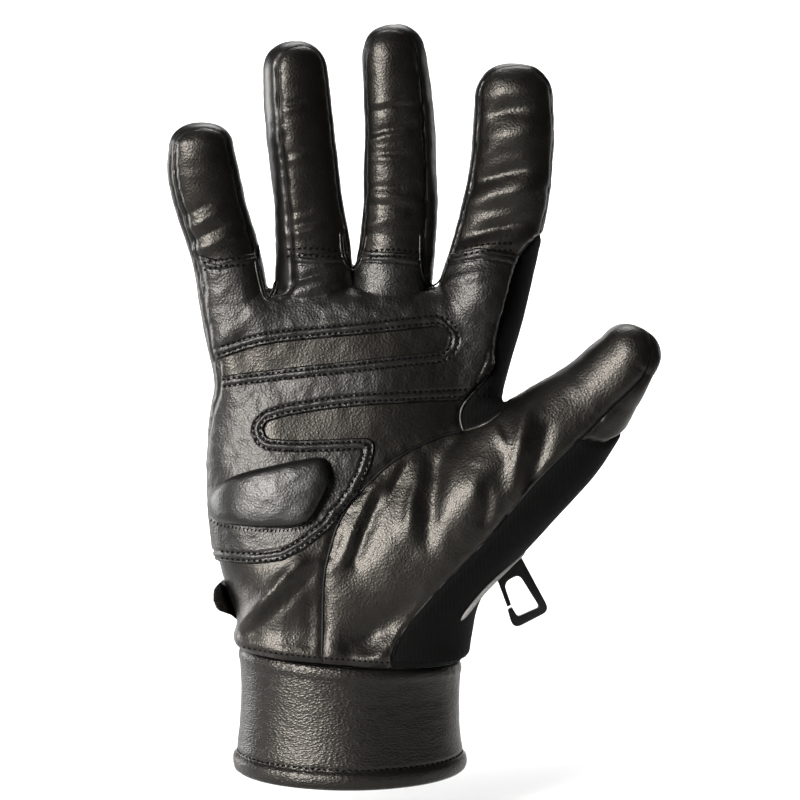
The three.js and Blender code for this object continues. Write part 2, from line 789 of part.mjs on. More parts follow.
// A flat plate in the hook's own plane, leaning as the hook does.
function hookPlate(shape, front, back) {
  const options = { depth: back - front, curveSegments: 4, bevelEnabled: false };
  const made = new THREE.ExtrudeGeometry(shape, options);
  made.rotateX(Math.PI / 2).translate(0, back, 0).rotateY(-HOOK.lean);
  return solidOf(made.translate(HOOK.x, HOOK.y, HOOK.z));
}

function rectangle({ across, half, low, high }) {
  return new THREE.Shape([
    new THREE.Vector2(across - half, low),
    new THREE.Vector2(across + half, low),
    new THREE.Vector2(across + half, high),
    new THREE.Vector2(across - half, high),
  ]);
}

function snapHook() {
  const shape = roundedOutline(new THREE.Shape(), HOOK.outline);
  shape.holes.push(roundedOutline(new THREE.Path(), HOOK.eye));
  return hookPlate(shape, 0, HOOK.thick)
    .subtract(hookPlate(rectangle(HOOK.gate_slit), -GAP, HOOK.thick + GAP))
    .subtract(hookPlate(rectangle(HOOK.tape_slot), -GAP, HOOK.thick + GAP));
}

// A loop of tape through the hook's slot, with a tail that is sewn to the glove.
function hookTape() {
  const { across, high } = HOOK.tape_slot;
  const { thick, half, tail } = TAPE;
  const top = HOOK.outline[0].along;
  const around = thick + GAP;
  const block = { across, half, low: high - around, high: top + tail };
  const room = { across, half: half + 1, low: high - GAP, high: top + GAP };
  return hookPlate(rectangle(block), -around, HOOK.thick + around)
    .subtract(hookPlate(rectangle(room), -GAP, HOOK.thick + GAP))
    .subtract(gloveSolid(GAP));
}

function edgePiping() {
  const path = new THREE.CatmullRomCurve3(PIPING.map(({ x, y, z }) => new THREE.Vector3(x, y, z)));
  const section = new THREE.Shape();
  section.absarc(0, 0, PIPING_RADIUS, 0, 2 * Math.PI);
  const options = { steps: 10, curveSegments: 4, extrudePath: path };
  return solidOf(new THREE.ExtrudeGeometry(section, options)).subtract(gloveSolid(GAP));
}

const LOOKS = {
  leather: { color: 0x1c1b19, roughness: 0.42 },
  fabric: { color: 0x0e0e10, roughness: 0.85 },
  piping: { color: 0x8d8b88, roughness: 0.5 },
  plastic: { color: 0x0b0b0d, roughness: 0.45 },
};

const glove = new THREE.Group();

function addPiece(name, solid, look) {
  const { vertProperties, triVerts } = largest(solid).getMesh();
  const geometry = new THREE.BufferGeometry();
  geometry.setAttribute("position", new THREE.BufferAttribute(new Float32Array(vertProperties), 3));
  geometry.setIndex(new THREE.BufferAttribute(new Uint32Array(triVerts), 1));
  geometry.computeVertexNormals();
  const mesh = new THREE.Mesh(geometry, new THREE.MeshStandardMaterial(LOOKS[look]));
  mesh.name = name;
  glove.add(mesh);
}

addPiece("palm_panel", palmPanel(), "leather");
addPiece("back_panel", backPanel(), "leather");
addPiece("fourchette_little_ring", fourchette(FINGERS.little, FINGERS.ring), "leather");
addPiece("fourchette_ring_middle", fourchette(FINGERS.ring, FINGERS.middle), "leather");
addPiece("fourchette_middle_index", fourchette(FINGERS.middle, FINGERS.index), "leather");
addPiece("index_gusset", indexGusset(), "fabric");
addPiece("thumb_panel", thumbPanel(), "leather");
addPiece("thumb_tip_back", thumbBack().intersect(aboveTipLine(IN)), "leather");
addPiece("thumb_gusset", thumbBack().subtract(aboveTipLine(OUT)), "fabric");
addPiece("palm_reinforcement", reinforcement(), "leather");
addPiece("heel_pad", heelPad(), "leather");
addPiece("cuff_band", cuffBand(), "leather");
addPiece("wrist_strap", wristStrap(), "leather");
addPiece("edge_piping", edgePiping(), "piping");
addPiece("hook_tape", hookTape(), "fabric");
addPiece("snap_hook", snapHook(), "plastic");

export default glove;
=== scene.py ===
"""The looks of a right-hand leather glove with a snap hook.

Sizes are in millimetres, as in the solids: +Z runs to the fingertips and the palm faces -Y.
"""

import math

import bpy
import numpy as np
import openvdb
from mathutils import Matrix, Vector
from mathutils.bvhtree import BVHTree


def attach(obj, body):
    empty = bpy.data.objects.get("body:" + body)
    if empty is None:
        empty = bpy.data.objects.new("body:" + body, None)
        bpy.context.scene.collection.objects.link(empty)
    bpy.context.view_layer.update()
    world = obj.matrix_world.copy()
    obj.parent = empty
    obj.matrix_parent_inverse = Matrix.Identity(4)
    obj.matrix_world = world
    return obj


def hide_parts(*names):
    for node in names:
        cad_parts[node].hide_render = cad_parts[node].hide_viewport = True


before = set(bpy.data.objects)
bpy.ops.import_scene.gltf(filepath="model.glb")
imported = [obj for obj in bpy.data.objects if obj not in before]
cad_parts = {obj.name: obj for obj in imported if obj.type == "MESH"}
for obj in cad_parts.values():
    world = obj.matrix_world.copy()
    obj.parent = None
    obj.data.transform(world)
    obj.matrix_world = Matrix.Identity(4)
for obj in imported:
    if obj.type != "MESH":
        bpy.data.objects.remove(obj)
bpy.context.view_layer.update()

MM = 0.001
VOXEL = 0.8
GRID_LOW = np.array([-60.0, -33.0, 30.0])
GRID_HIGH = np.array([99.0, 29.0, 237.0])
LATTICE = 64
LATTICE_ORIGIN = 1000.0
FAR = 130
UP = (0, 0, 1)
LEATHER = 1.2
WRIST_SEAM = 37
WRIST_TILT = {"across": -0.067, "hem": 0.115, "seam": 0.085, "ends": 62}
SQUARENESS = {"hand": 2.5, "finger": 2.25, "thumb": 2.15, "tip": 2.3, "cuff": 1.95}
BLEND = {"finger": 1.6, "knuckle": 1.8, "thumb": 5, "top": 6, "palm": 3, "back": 2}

# The hand: z, left, right, front, back
HAND = [
    (28, -34.4, 34, -23, 23.2), (36.6, -35.4, 35.6, -23.6, 23.6), (39, -36, 36.8, -23.8, 23.2),
    (46, -35.2, 38.4, -22.6, 21.2), (56, -38.2, 39.8, -22.4, 19.4), (68, -41.6, 42.6, -21.8, 18.6),
    (84, -44, 45.4, -19.8, 17.6), (100, -44.6, 46.6, -17.4, 16.8), (113, -43.4, 46.8, -15.8, 15.8),
    (124, -42.2, 48, -14.8, 15), (137, -45, 52.4, -13.8, 13.6), (145, -44, 53.4, -11.6, 11.2),
    (149.6, -40.4, 50, -7.5, 7.5),
]
HAND_TOP = 149.6
# The heights between which the wrinkles of the fingers and of the wrist set in
FINGERS_FROM = (138, 150)
WRIST_FROM = (62, 40)

# Fingers and thumb. Rows: x, y, z, wide, deep. Tip: the length of the round end.
# Seams: left and right, on the palm (-1) and the back (1), as shares of the half depth.
FINGERS = {
    "little": {
        "tip": 9,
        "seams": {-1: (-0.78, -0.47), 1: (-0.72, 0.45)},
        "rows": [
            (-31, 0, 118, 21, 23), (-35.8, 0, 143, 22, 22), (-38, -1, 157, 21.2, 20.4),
            (-42.2, -3, 172, 21.6, 19.4), (-45.2, -5.4, 184.5, 21.8, 19), (-45.8, -6.8, 192, 20.2, 18.2),
        ],
    },
    "ring": {
        "tip": 10.6,
        "seams": {-1: (-1.12, -0.3), 1: (0.4, 0.45)},
        "rows": [
            (-9.5, 0.5, 122, 23, 25), (-11, 0.5, 148, 24.6, 23.4), (-11.6, 0, 162, 23.4, 21.6),
            (-13.2, -1.2, 178, 21.6, 20.6), (-15.4, -3.6, 199, 21.2, 20), (-16.6, -5, 215.6, 20.2, 18.8),
        ],
    },
    "middle": {
        "tip": 12,
        "seams": {-1: (-0.4, -0.84), 1: (0.45, 0.4)},
        "rows": [
            (12.5, 0.5, 124, 24, 25.6), (13.2, 0.5, 150, 24.6, 24), (14.9, 0, 164, 23.6, 22.2),
            (15.8, -0.8, 180, 23.2, 21.4), (15.3, -2.4, 203, 22, 20.6), (14, -4, 219.6, 20.4, 19.2),
        ],
    },
    "index": {
        "tip": 12,
        "seams": {-1: (-0.44, -0.63), 1: (0.45, -0.63)},
        "rows": [
            (36.4, 0, 120, 23, 25), (40.6, 0, 144, 28, 24), (44.1, -0.4, 158, 27.6, 23),
            (45.6, -0.8, 164, 27.2, 22.8), (47.1, -1.3, 170, 26.6, 22.6), (49.2, -2.5, 181, 26, 22.2),
            (50.5, -3.8, 193, 25.2, 21.6), (50.7, -5.4, 207, 24, 20.4),
        ],
    },
}
THUMB = {
    "tip": 9.4,
    "rows": [
        (14, -2, 46, 28, 36), (20, -5, 55, 34, 37.5), (29.2, -7.6, 71.6, 40.6, 36),
        (46.6, -9.6, 89.8, 40.4, 32), (63, -10.4, 103.6, 34.6, 28), (74.6, -11.4, 115.6, 26.8, 24),
        (81.8, -12.6, 125.4, 20.4, 20.4), (84.4, -13.2, 128.8, 18, 18.8),
    ],
}
# A tube's pitch, the depth of its round root, and how far around it the grid is worked out
TUBE_PITCH = 0.5
TUBE_ROOT = 20
TUBE_MARGIN = 8
# The fingers' and the thumb's ends, where the seams lie flatter: x, y, z
TIPS = [(-46.2, -8, 200), (-17, -6, 226), (14, -5, 231), (50.7, -6.4, 218), (91, -13, 140)]

# Seams as seen from the palm: x, z
THUMB_CROTCH = [(110, 166), (80, 141), (62, 126.4), (49.4, 116.6), (46.4, 111.8)]
THUMB_SEAM = [
    (40.6, 107.6), (28, 104), (15.6, 97.8), (6.3, 90), (-1.6, 80.6), (-5.6, 69.7), (-7.6, 58), (-7.8, 30),
]
THUMB_SIDE_SEAM = [
    (92, 150), (90, 138), (89, 128), (84.6, 119.6), (72, 105.4), (58, 91.6), (40, 70.8), (27.8, 58.4),
    (17.6, 46.4), (13.4, 38), (12.8, 30),
]
THUMB_ROOT = [(47.4, 106), (50, 90), (54.6, 68), (56, 60)]
TIP_LEATHER = [(50, 104), (72, 103), (78, 101.8), (84, 105.4), (110, 108)]
GUSSET_SEAM = [
    (64, 167), (57.6, 165.4), (52.4, 160), (48.6, 150), (45.2, 136), (43.6, 124), (36.2, 115.2),
    (34, 110.4), (35.4, 103),
]
GUSSET_BEYOND = [(50, 106), (80, 135), (80, 167)]
GUSSET_DEPTH = 6
WEB_LINE = [
    (-130, 146), (-38, 146), (-25.6, 145.2), (-12, 150), (0.6, 154.6), (13, 152), (26, 149.8), (40, 148),
    (130, 146),
]
# The side seam: z, y
SIDE_SEAM = [(-20, -1), (60, -1), (110, -5.4), (121, -8.2), (260, -8.2)]
# Finger leather reaches this far past a finger's side, and starts this far up its tube
FINGER_REACH = 2.5
FINGER_ROOT = 12

# The palm reinforcement and the pad: x, z. Slots: x, z, half width; the first row is the round end.
REINFORCEMENT = [
    (-60, 163), (-40, 158), (-23.6, 161.4), (-12, 159.8), (2, 161), (14, 160.4), (26.6, 159), (40, 161.6),
    (58, 158.4), (50.8, 152), (47.2, 140), (44, 126.5), (39, 114), (11, 107.6), (8.6, 102.4), (6.8, 95),
    (3, 87), (-6.3, 75.5), (-13.6, 69.7), (-20, 66.4), (-28, 65.2), (-60, 66),
]
DIAGONAL_FROM = 14
UPPER_SLOT = [(26.4, 133.6, 3.8), (5, 131.2, 3.8), (-24, 128.2, 3.9), (-40, 125, 2.7), (-60, 121.6, 2)]
LOWER_SLOT = [(-23, 106, 2.8), (-14.6, 106.8, 4), (8, 108.6, 4.9), (60, 111, 5)]
# The rounded corner below the lower slot: its sharp place, its radius and how near the two edges blend
SLOT_CORNER = (8, 103)
CORNER_ROUND = 4
CORNER_BLEND = 1.17 * CORNER_ROUND
OVERLAY = 1
GAP = 0.3
EDGE_ROUND = 1
FOLD_LINE = (154.5, 156.5)
PAD = [
    (-43.6, 85), (-36, 91.4), (-22, 95.4), (-8.4, 97.6), (-5.2, 94), (-5.4, 89.6), (-10, 80.6),
    (-14.4, 77.2), (-24, 76.4), (-38, 77.4), (-43, 79.6),
]
# The pad's dome: inset as a share, height
PAD_DOME = [
    (0, -0.6), (0, 0.7), (0.02, 1.7), (0.06, 2.7), (0.13, 3.4), (0.28, 3.9), (0.55, 4.15), (0.9, 4.25),
]
PAD_HEIGHT = 4.2
PAD_LEAN = 0.05

# Stitched rows of the reinforcement
ROW_INSETS = (1.15, 3.3)
ROW_END = 50
PITCH = 1.75
# The lower side of the lower slot lies below this; its rows' corners move in by these shares of their inset
LOW_SIDE = 108
CORNER_INSET = np.array([1.1, 1])
# How far the middle of a rounded corner lies from the sharp one, as a share of its radius
ARC_MIDDLE = 0.29
# A stitch needs a surface that faces the palm this much, and neighbours within this many pitches
FACING = 0.25
JUMP = 3.5
# The row below the pad: under z, left of x, shift, pitch. The wrist's row: from x, to x, step, height, pitch
PAD_ROW = (79.5, -9, -0.9, 1.25)
WRIST_ROW = (-34.5, 36, 0.5, 1.9, 1.7)
# Double rows under the fingers: left, right, height at the left and at the right
FINGER_ROWS = [
    (-46, -30.6, 158, 159.6), (-20.6, -3, 162.4, 162), (5, 22, 162, 161.6), (34, 51, 162.6, 164),
]
# A stitch: place along it and thickness, as shares
THREAD = [(-1, 0), (-0.8, 0.62), (-0.3, 1), (0.3, 1), (0.8, 0.62), (1, 0)]
# Beads that run down one finger, through the crotch and up the next: x, z
CROTCH_BEADS = [
    [
        (-29.7, 165.9), (-29.1, 158.8), (-27.9, 152), (-26.4, 146.8), (-24.8, 144.9), (-23.3, 146.8),
        (-22.3, 152),
    ],
    [(-2.9, 166.8), (-2.6, 161.3), (-1.4, 157), (0.8, 154.8), (3, 156.3), (4.5, 160.7), (5.4, 165.9)],
    [(21.8, 165.9), (21.8, 157.6), (22.7, 152.6), (24.9, 149.9), (27.3, 150.8), (29.2, 154.5), (30.7, 159.7)],
]

# Folds and creases of the palm side: x0, z0, x1, z1, width, height; a valley has a negative height
CREASES = [
    # hollow and heel of the hand
    (8, 100, 8, 140, 16, 1.6), (-17, 64, -33, 44, 7, 2.4), (-14.1, 66.3, -33.7, 43.6, 2.2, 1.5),
    (-11.6, 62, -29, 44, 2.2, -1), (-10, 60, -12, 40, 5, -0.9),
    # ball of the thumb
    (-2.6, 65.1, 7.7, 88.4, 1.7, 1.5), (1.2, 66.5, 9, 85, 2.4, -1.6), (8, 56, 17, 88.5, 6.5, 1.5),
    (16.8, 95.3, 12.4, 85, 1.4, -0.8), (19, 75, 21.4, 93.5, 2.4, 1.3), (23.6, 72, 26.4, 94, 3, -1.5),
    (36, 80, 39.6, 94, 5.6, 1.6), (40.6, 79, 41.6, 90, 1.8, -0.8), (43.4, 77, 45.4, 85, 2.2, 0.8),
    (2, 41, 18, 53, 4, -1.4), (4, 34, 19, 44.4, 3, 1.3),
    # root and length of the thumb
    (48.8, 86, 54, 112, 2.6, 1.7), (54, 86, 59.6, 106, 2.7, -1.8), (68, 103, 84, 122, 6, 0.6),
    (88.5, 113, 89.2, 136, 11, 4), (44, 108, 48, 100, 1.6, 0.6),
    # roots of the fingers
    (-29.8, 154.3, -28.3, 136, 5, 1.5), (-47, 128, -30, 141, 2.6, 0.6), (-21, 147, -3, 151.6, 1.8, 0.9),
    (-22, 150, -4, 154.6, 1.4, -0.6), (43, 157, 41, 139, 9.5, 2.8), (30, 150, 44, 153.6, 1.4, 0.5),
    (2, 152, 26, 144, 3, -0.4),
    # index finger
    (56, 160, 59, 214, 9, 2.6), (34, 159.6, 53, 164.6, 2.6, 1.4), (35, 164.6, 53, 169.4, 2, -1.2),
    (36.8, 175, 55, 180.2, 3, 1.6), (36.8, 181.4, 54.6, 186, 2.2, -1.3), (39.6, 170, 50, 171, 1.4, 0.4),
    (38, 189, 44, 191, 1.2, 0.5), (42, 194.6, 57, 197, 4, 1.4), (43, 202.4, 56.4, 204.2, 3.2, -1.2),
    # middle finger
    (8, 168, 7, 222, 5, 0.8), (6, 203.6, 21, 204.8, 0.9, -0.6), (6, 205.4, 19, 206.6, 0.9, 0.5),
    (5.6, 196.8, 20, 199, 0.9, -0.7), (5.6, 194.8, 18, 196.4, 1, 0.6), (7, 188.6, 16, 188.8, 0.8, 0.5),
    (7, 190.4, 18, 190.8, 0.9, -0.6), (6, 180, 20, 181, 1, -0.6), (6, 177.6, 21, 176.8, 1, 0.5),
    (6, 175.4, 20, 174, 0.9, -0.5), (6, 169, 17, 171.6, 1.4, 0.7), (7, 165.4, 20, 164.6, 1, -0.4),
    # ring finger
    (-17.4, 164, -19, 218, 6, 0.9), (-20, 203, -15, 203.6, 0.8, 0.5), (-20, 205, -14, 205.8, 0.8, -0.5),
    (-20, 189.6, -13, 190.8, 0.8, -0.5), (-20, 187.8, -14, 188.8, 0.9, 0.5),
    (-19.6, 172, -12, 173.4, 0.9, -0.4), (-18, 165.6, -9, 168, 1.2, 0.8), (-18, 168.6, -8, 170.6, 1, -0.6),
    # little finger
    (-50, 160, -36, 165, 1.3, 0.7), (-50, 163, -38, 168.6, 1, -0.6), (-50, 167, -40, 172, 1.1, 0.6),
    (-52, 171, -41, 176, 1, -0.4),
]

# The cuff: z and half width; its depth follows
CUFF = [(-1, 34.6), (0, 35.3), (1.3, 36.2), (4.6, 36.3), (6, 35.4), (14, 34.4), (25, 34), (36.3, 34.7)]
CUFF_DEPTH = 0.66
CUFF_WALL = 2.2
HEM_LINE = 6
HEM_ROW = {"sink": -0.35, "pitch": 1.9}
# Its section from the outside over the rim to the inside and round the hem: how far out, z
CUFF_OUTSIDE = np.arange(0.9, 35.2, 0.55)
CUFF_RIM = [(-0.3, 35.8), (-0.9, 36.2), (-1.6, 36.1), (-2.1, 35.6)]
CUFF_INSIDE = np.arange(34, 2, -1.6)
CUFF_HEM = [(-2, 0.5), (-1.5, 0), (-0.9, -0.15), (-0.4, 0.15)]
GATHERS_FROM = (26, 36)

# Profiles beside a line: height, offset, width
SEAM_PROFILE = [(-0.8, 0, 0.85), (0.06, 2.4, 1.4)]
SEAM_PUCKER = [(0.3, 0, 2.6)]
WRIST_PROFILE = [(-1, 0, 1.2), (0.25, 3.4, 1.6)]
OVERLAY_PROFILE = [(-0.34, inset, 0.42) for inset in ROW_INSETS] + [(0.12, np.mean(ROW_INSETS), 0.7)]
# Wear and shade beside a line: the reinforcement's edge is rubbed lighter, painted shade darkens its stitched
# rows and the cuff's hem line, and the hem's fold is rubbed lighter.
OVERLAY_EDGE_WEAR = [(0.45, 0.35, 0.4)]
OVERLAY_ROW_SHADE = [(-0.3, inset, 0.4) for inset in ROW_INSETS]
CUFF_PROFILE = [(-0.4, HEM_LINE, 0.6), (0.25, 3.2, 1.8), (0.3, 33.6, 1.2)]
CUFF_WEAR_AND_SHADE = [(-0.35, HEM_LINE, 0.5), (0.2, 1.5, 1.2)]

PLAIN_WEAR = 0.45
BOUND_WEAR = 0.8

# Unevenness: height, size, seed
FOLD_WANDER = [(0.7, 7, 5)]
SLACK = [(0.1, 3.2, 31), (0.35, 11, 32)]
FINGER_SLACK = [(0.55, 14, 11)]
FINGER_WRINKLES = [(0.2, (7, 5, 1.7), 21)]
WRIST_WRINKLES = [(0.22, (3.4, 3.4, 14), 41)]
SEAM_GATHER = [(1, 1.8, 51)]
OVERLAY_SLACK = [(0.1, 2.2, 61)]
PAD_DENTS = [(0.3, 9, 71), (0.08, 2.6, 72)]
CUFF_WRINKLES = [(0.25, (16, 16, 12), 81), (0.07, (4.5, 4.5, 1.9), 82)]
CUFF_GATHERS = [(0.1, (1.8, 1.8, 9), 83)]
CUFF_UNEVEN_WEAR = [(0.15, 6, 84)]

STRAP = {
    "low": 47, "high": 58.4, "stand_off": 0.7, "from": 28, "to": 196, "lift_from": 150, "end_lift": 3.2,
    "step": 0.8, "stitch_share": 0.66, "stitch_rise": 1.75, "stitch_pitch": 2,
}
# The strap's end as the palm side shows it: z and the furthest x
STRAP_END = [(45, -34), (48.6, -36.4), (50.2, -40.2), (52.4, -41.7), (55.2, -41.9), (57.6, -41.1), (62, -36)]
# Half of the strap's section: share of its half width, height above its underside
STRAP_EDGE = [(0.95, 0), (1, 0.4), (1.02, 1), (0.98, 1.7), (0.9, 2.05), (0.8, 1.9), (0.74, 1.55), (0.55, 1.6)]
STRAP_SECTION = [(-up, rise) for up, rise in STRAP_EDGE] + [(0, 1.75)] + STRAP_EDGE[::-1]
# The hook in its own plane: across, along, corner radius. The slit beside the eye joins the two outlines.
HOOK = {
    "x": 54, "y": 10, "z": 54, "lean": 0.492, "thick": 3, "edge": 0.45, "sharp": 40,
    "outline": [
        (5.4, 19, 1.6), (-5.2, 19, 1.6), (-4.9, 6.2, 0.6), (-6.05, -2.2, 0.4), (-4.6, -2.2, 0.4),
        (-3.4, 5.1, 2.4), (2.1, 5.2, 2), (2.9, -7, 1.2), (-4.6, -6.4, 0.9), (-4.7, -2.9, 0.5),
        (-6.4, -2.9, 0.7), (-7.8, -9.4, 3.2), (5.4, -9.6, 2.8),
    ],
    "tape_slot": [(-4, 14.6, 0.3), (-4, 17.2, 0.3), (4, 17.2, 0.3), (4, 14.6, 0.3)],
}
# The webbing's loop in depth and along the hook, and its flat section
TAPE = {
    "loop": [(-1, 27), (-1, 18.4), (-0.4, 16.6), (1.5, 15.8), (3.4, 16.6), (4, 18.4), (4, 27)],
    "section": [
        (-3.5, -0.35), (-3.5, 0.35), (-1.2, 0.45), (1.2, 0.45), (3.5, 0.35), (3.5, -0.35), (0, -0.45),
    ],
}
PIPING_RADIUS = 0.9
PIPING = [
    (54.4, -9, 68.9), (50, -13, 65.4), (46, -14.3, 61.6), (42, -14.9, 57.6), (39, -14.9, 54.2),
    (36.4, -15.2, 51), (33.4, -15.3, 47.4),
]

# The pieces that the hand's surface is cut into: name, node, slot, material
SKIN_PIECES = [
    ("thumb_leather", "thumb_panel", "palm_leather", "palm"),
    ("thumb_tip_leather", "thumb_tip_back", "back_leather", "palm"),
    ("thumb_fabric", "thumb_gusset", "stretch_fabric", "fabric"),
    ("gusset_fabric", "index_gusset", "stretch_fabric", "fabric"),
    ("palm_leather", "palm_panel", "palm_leather", "palm"),
    ("back_leather", "back_panel", "back_leather", "back"),
    ("side_little_ring", "fourchette_little_ring", "side_leather", "side"),
    ("side_ring_middle", "fourchette_ring_middle", "side_leather", "side"),
    ("side_middle_index", "fourchette_middle_index", "side_leather", "side"),
]
FABRIC_PIECES = ["thumb_fabric", "gusset_fabric"]
SIDE_PIECES = ["side_little_ring", "side_ring_middle", "side_middle_index"]
# Raised or sunk seams: name, region, the regions beside it, radius, lift, material, slot
BEADS = [
    ("finger_cords", "palm_leather", SIDE_PIECES, 0.42, -0.2, "cord", "side_leather"),
    ("finger_back_cords", "back_leather", SIDE_PIECES, 0.4, -0.2, "cord", "side_leather"),
    ("finger_side_cord", "palm_leather", ["back_leather"], 0.42, -0.2, "cord", "back_leather"),
    ("gusset_bead", "gusset_fabric", ["palm_leather"], 0.45, 0.15, "bead", "palm_leather"),
    ("thumb_crotch_bead", "thumb_leather", ["gusset_fabric"], 0.45, 0.2, "bead", "palm_leather"),
    ("thumb_seam_cord", "thumb_leather", ["palm_leather"], 0.55, 0, "cord", "palm_leather"),
    ("thumb_side_cord", "thumb_leather", ["thumb_fabric"], 0.45, -0.1, "cord", "palm_leather"),
    ("thumb_tip_cord", "thumb_leather", ["thumb_tip_leather"], 0.45, -0.1, "thread", "palm_leather"),
]
# The photograph's view and the floor's height
VIEW = {"x": 15.6, "z": 115, "distance": 620, "half_width": 125, "sensor": 36}
FLOOR = -14


def smoothstep(low, high, value):
    t = np.clip((value - low) / (high - low), 0, 1)
    return t * t * (3 - 2 * t)


def bells(distance, rows):
    """Rounded ridges and grooves beside a line: height, offset, width."""
    return sum(height * np.exp(-(((distance - offset) / width) ** 2)) for height, offset, width in rows)


def unit(vectors):
    return vectors / np.maximum(np.linalg.norm(vectors, axis=-1, keepdims=True), 1e-9)


def spline(rows, at):
    """Rows of a table at fractional row numbers, along a smooth curve."""
    rows = np.asarray(rows, float)
    first = np.clip(np.floor(at).astype(int), 0, len(rows) - 2)
    t = (at - first)[:, None]
    before, here, after, beyond = (rows[np.clip(first + k, 0, len(rows) - 1)] for k in range(-1, 3))
    turn = smoothstep(0, 1, t)
    bend = (t**3 - 2 * t**2 + t) * (after - before) / 2 + (t**3 - t**2) * (beyond - here) / 2
    return (1 - turn) * here + turn * after + bend


def dense(rows, count):
    return spline(rows, np.linspace(0, len(rows) - 1, count))


def spaced(line, pitch):
    """Points at an even pitch along a polyline."""
    line = np.asarray(line, float)
    along = np.concatenate([[0], np.cumsum(np.linalg.norm(np.diff(line, axis=0), axis=1))])
    count = max(int(round(along[-1] / pitch)), 2)
    at = np.linspace(0, along[-1], count + 1)
    return np.stack([np.interp(at, along, column) for column in line.T], axis=1)


def curved(line, pitch=1):
    return spaced(dense(line, 12 * len(line)), pitch)


def closed_curve(corners, pitch):
    count = len(corners)
    wrapped = np.array(corners)[np.arange(-2, count + 3) % count]
    return spaced(spline(wrapped, np.linspace(2, count + 2, 20 * count)), pitch)[:-1]


def relaxed(line, rounds):
    for _ in range(rounds):
        line = np.concatenate([line[:1], (line[:-2] + 2 * line[1:-1] + line[2:]) / 4, line[-1:]])
    return line


def lefts(line):
    """Unit vectors to the left of a line, as it is drawn."""
    along = unit(np.gradient(line, axis=0))
    return np.stack([-along[:, 1], along[:, 0]], axis=1)


def shifted(line, distance):
    return line + lefts(line) * distance


def level_of(line, at):
    """The second column of a line at values of its first one."""
    return np.interp(at, *np.asarray(line, float).T)


def blended(table, cell, f):
    """A grid's values between its points; beyond its end it begins again."""
    total = np.zeros(len(cell))
    for corner in np.ndindex(2, 2, 2):
        weight = np.prod(np.where(np.array(corner) == 1, f, 1 - f), axis=1)
        total += weight * table[tuple(((cell + corner) % table.shape).T)]
    return total


def uneven(points, rows):
    """Smooth noise, a sum of rows: height, size of the features, seed."""
    total = np.zeros(len(points))
    for height, size, seed in rows:
        lattice = np.random.default_rng(seed).uniform(-1, 1, (LATTICE,) * 3)
        at = points / size + LATTICE_ORIGIN
        cell = np.floor(at).astype(int)
        total += height * blended(lattice, cell, smoothstep(0, 1, at - cell))
    return total


def smooth_min(a, b, width):
    h = np.clip(0.5 + 0.5 * (b - a) / width, 0, 1)
    return b + (a - b) * h - width * h * (1 - h)


def wrist_slope(x, y, z):
    to_seam = np.clip(z / WRIST_SEAM, 0, 1)
    fade = 1 - smoothstep(WRIST_SEAM, WRIST_TILT["ends"], z)
    depth = WRIST_TILT["hem"] + (WRIST_TILT["seam"] - WRIST_TILT["hem"]) * to_seam
    return (WRIST_TILT["across"] * to_seam * x + depth * y) * fade


def hand_sides(level):
    """The hand's left, right, front and back at some heights."""
    heights, *columns = dense(HAND, 400).T
    return [np.interp(level, heights, column) for column in columns]


def hand_field(x, y, z):
    """Distance to the palm and back, negative inside."""
    left, right, front, back = hand_sides(z - wrist_slope(x, y, z))
    middle = (left + right) / 2
    across = np.abs((x - middle) / ((right - left) / 2))
    depth = np.abs(np.where(y < 0, y / front, y / back))
    power = SQUARENESS["hand"]
    share = np.maximum((across**power + depth**power) ** (1 / power), 0.001)
    side = np.hypot(x - middle, y) * (1 - 1 / share)
    return -smooth_min(-side, HAND_TOP - z, BLEND["top"])


class Tube:
    """A finger or the thumb: rounded-square sections along a curve, and a round tip."""

    def __init__(self, rows, tip, squareness):
        table = spaced(dense(rows, 20 * len(rows)), TUBE_PITCH)
        self.middle = table[:, :3]
        self.sizes = table[:, 3:]
        self.along = unit(np.gradient(self.middle, axis=0))
        self.step = np.linalg.norm(self.middle[1] - self.middle[0])
        self.length = self.step * (len(table) - 1)
        self.tip = tip
        self.squareness = squareness

    def at(self, table, distance):
        place = np.clip(distance / self.step, 0, len(table) - 1.001)
        first = place.astype(int)
        t = (place - first)[:, None]
        return table[first] * (1 - t) + table[first + 1] * t

    def local(self, points):
        """Distance along the tube, across it, in depth and beyond its ends, and its half sizes."""
        chord = self.middle[-1] - self.middle[0]
        distance = (points - self.middle[0]) @ chord / (chord @ chord) * self.length
        for _ in range(4):
            distance = np.clip(distance, 0, self.length)
            miss = ((points - self.at(self.middle, distance)) * self.at(self.along, distance)).sum(axis=1)
            distance = distance + miss
        distance = np.clip(distance, 0, self.length)
        along = self.at(self.along, distance)
        offset = points - self.at(self.middle, distance)
        across = unit(np.stack([along[:, 2], np.zeros(len(along)), -along[:, 0]], axis=1))
        depth = np.cross(along, across)
        u, v, beyond = ((offset * axis).sum(axis=1) for axis in (across, depth, along))
        return distance, u, v, beyond, *(self.at(self.sizes, distance) / 2).T

    def field(self, points):
        _, u, v, beyond, wide, deep = self.local(points)
        power = self.squareness
        section = (np.abs(u / wide) ** power + np.abs(v / deep) ** power) ** (1 / power)
        cap = np.where(beyond > 0, beyond / self.tip, -beyond / TUBE_ROOT)
        power = SQUARENESS["tip"]
        share = np.maximum((section**power + cap**power) ** (1 / power), 0.001)
        return np.sqrt(u * u + v * v + beyond * beyond) * (1 - 1 / share)


TUBES = {name: Tube(finger["rows"], finger["tip"], SQUARENESS["finger"]) for name, finger in FINGERS.items()}
TUBES["thumb"] = Tube(THUMB["rows"], THUMB["tip"], SQUARENESS["thumb"])


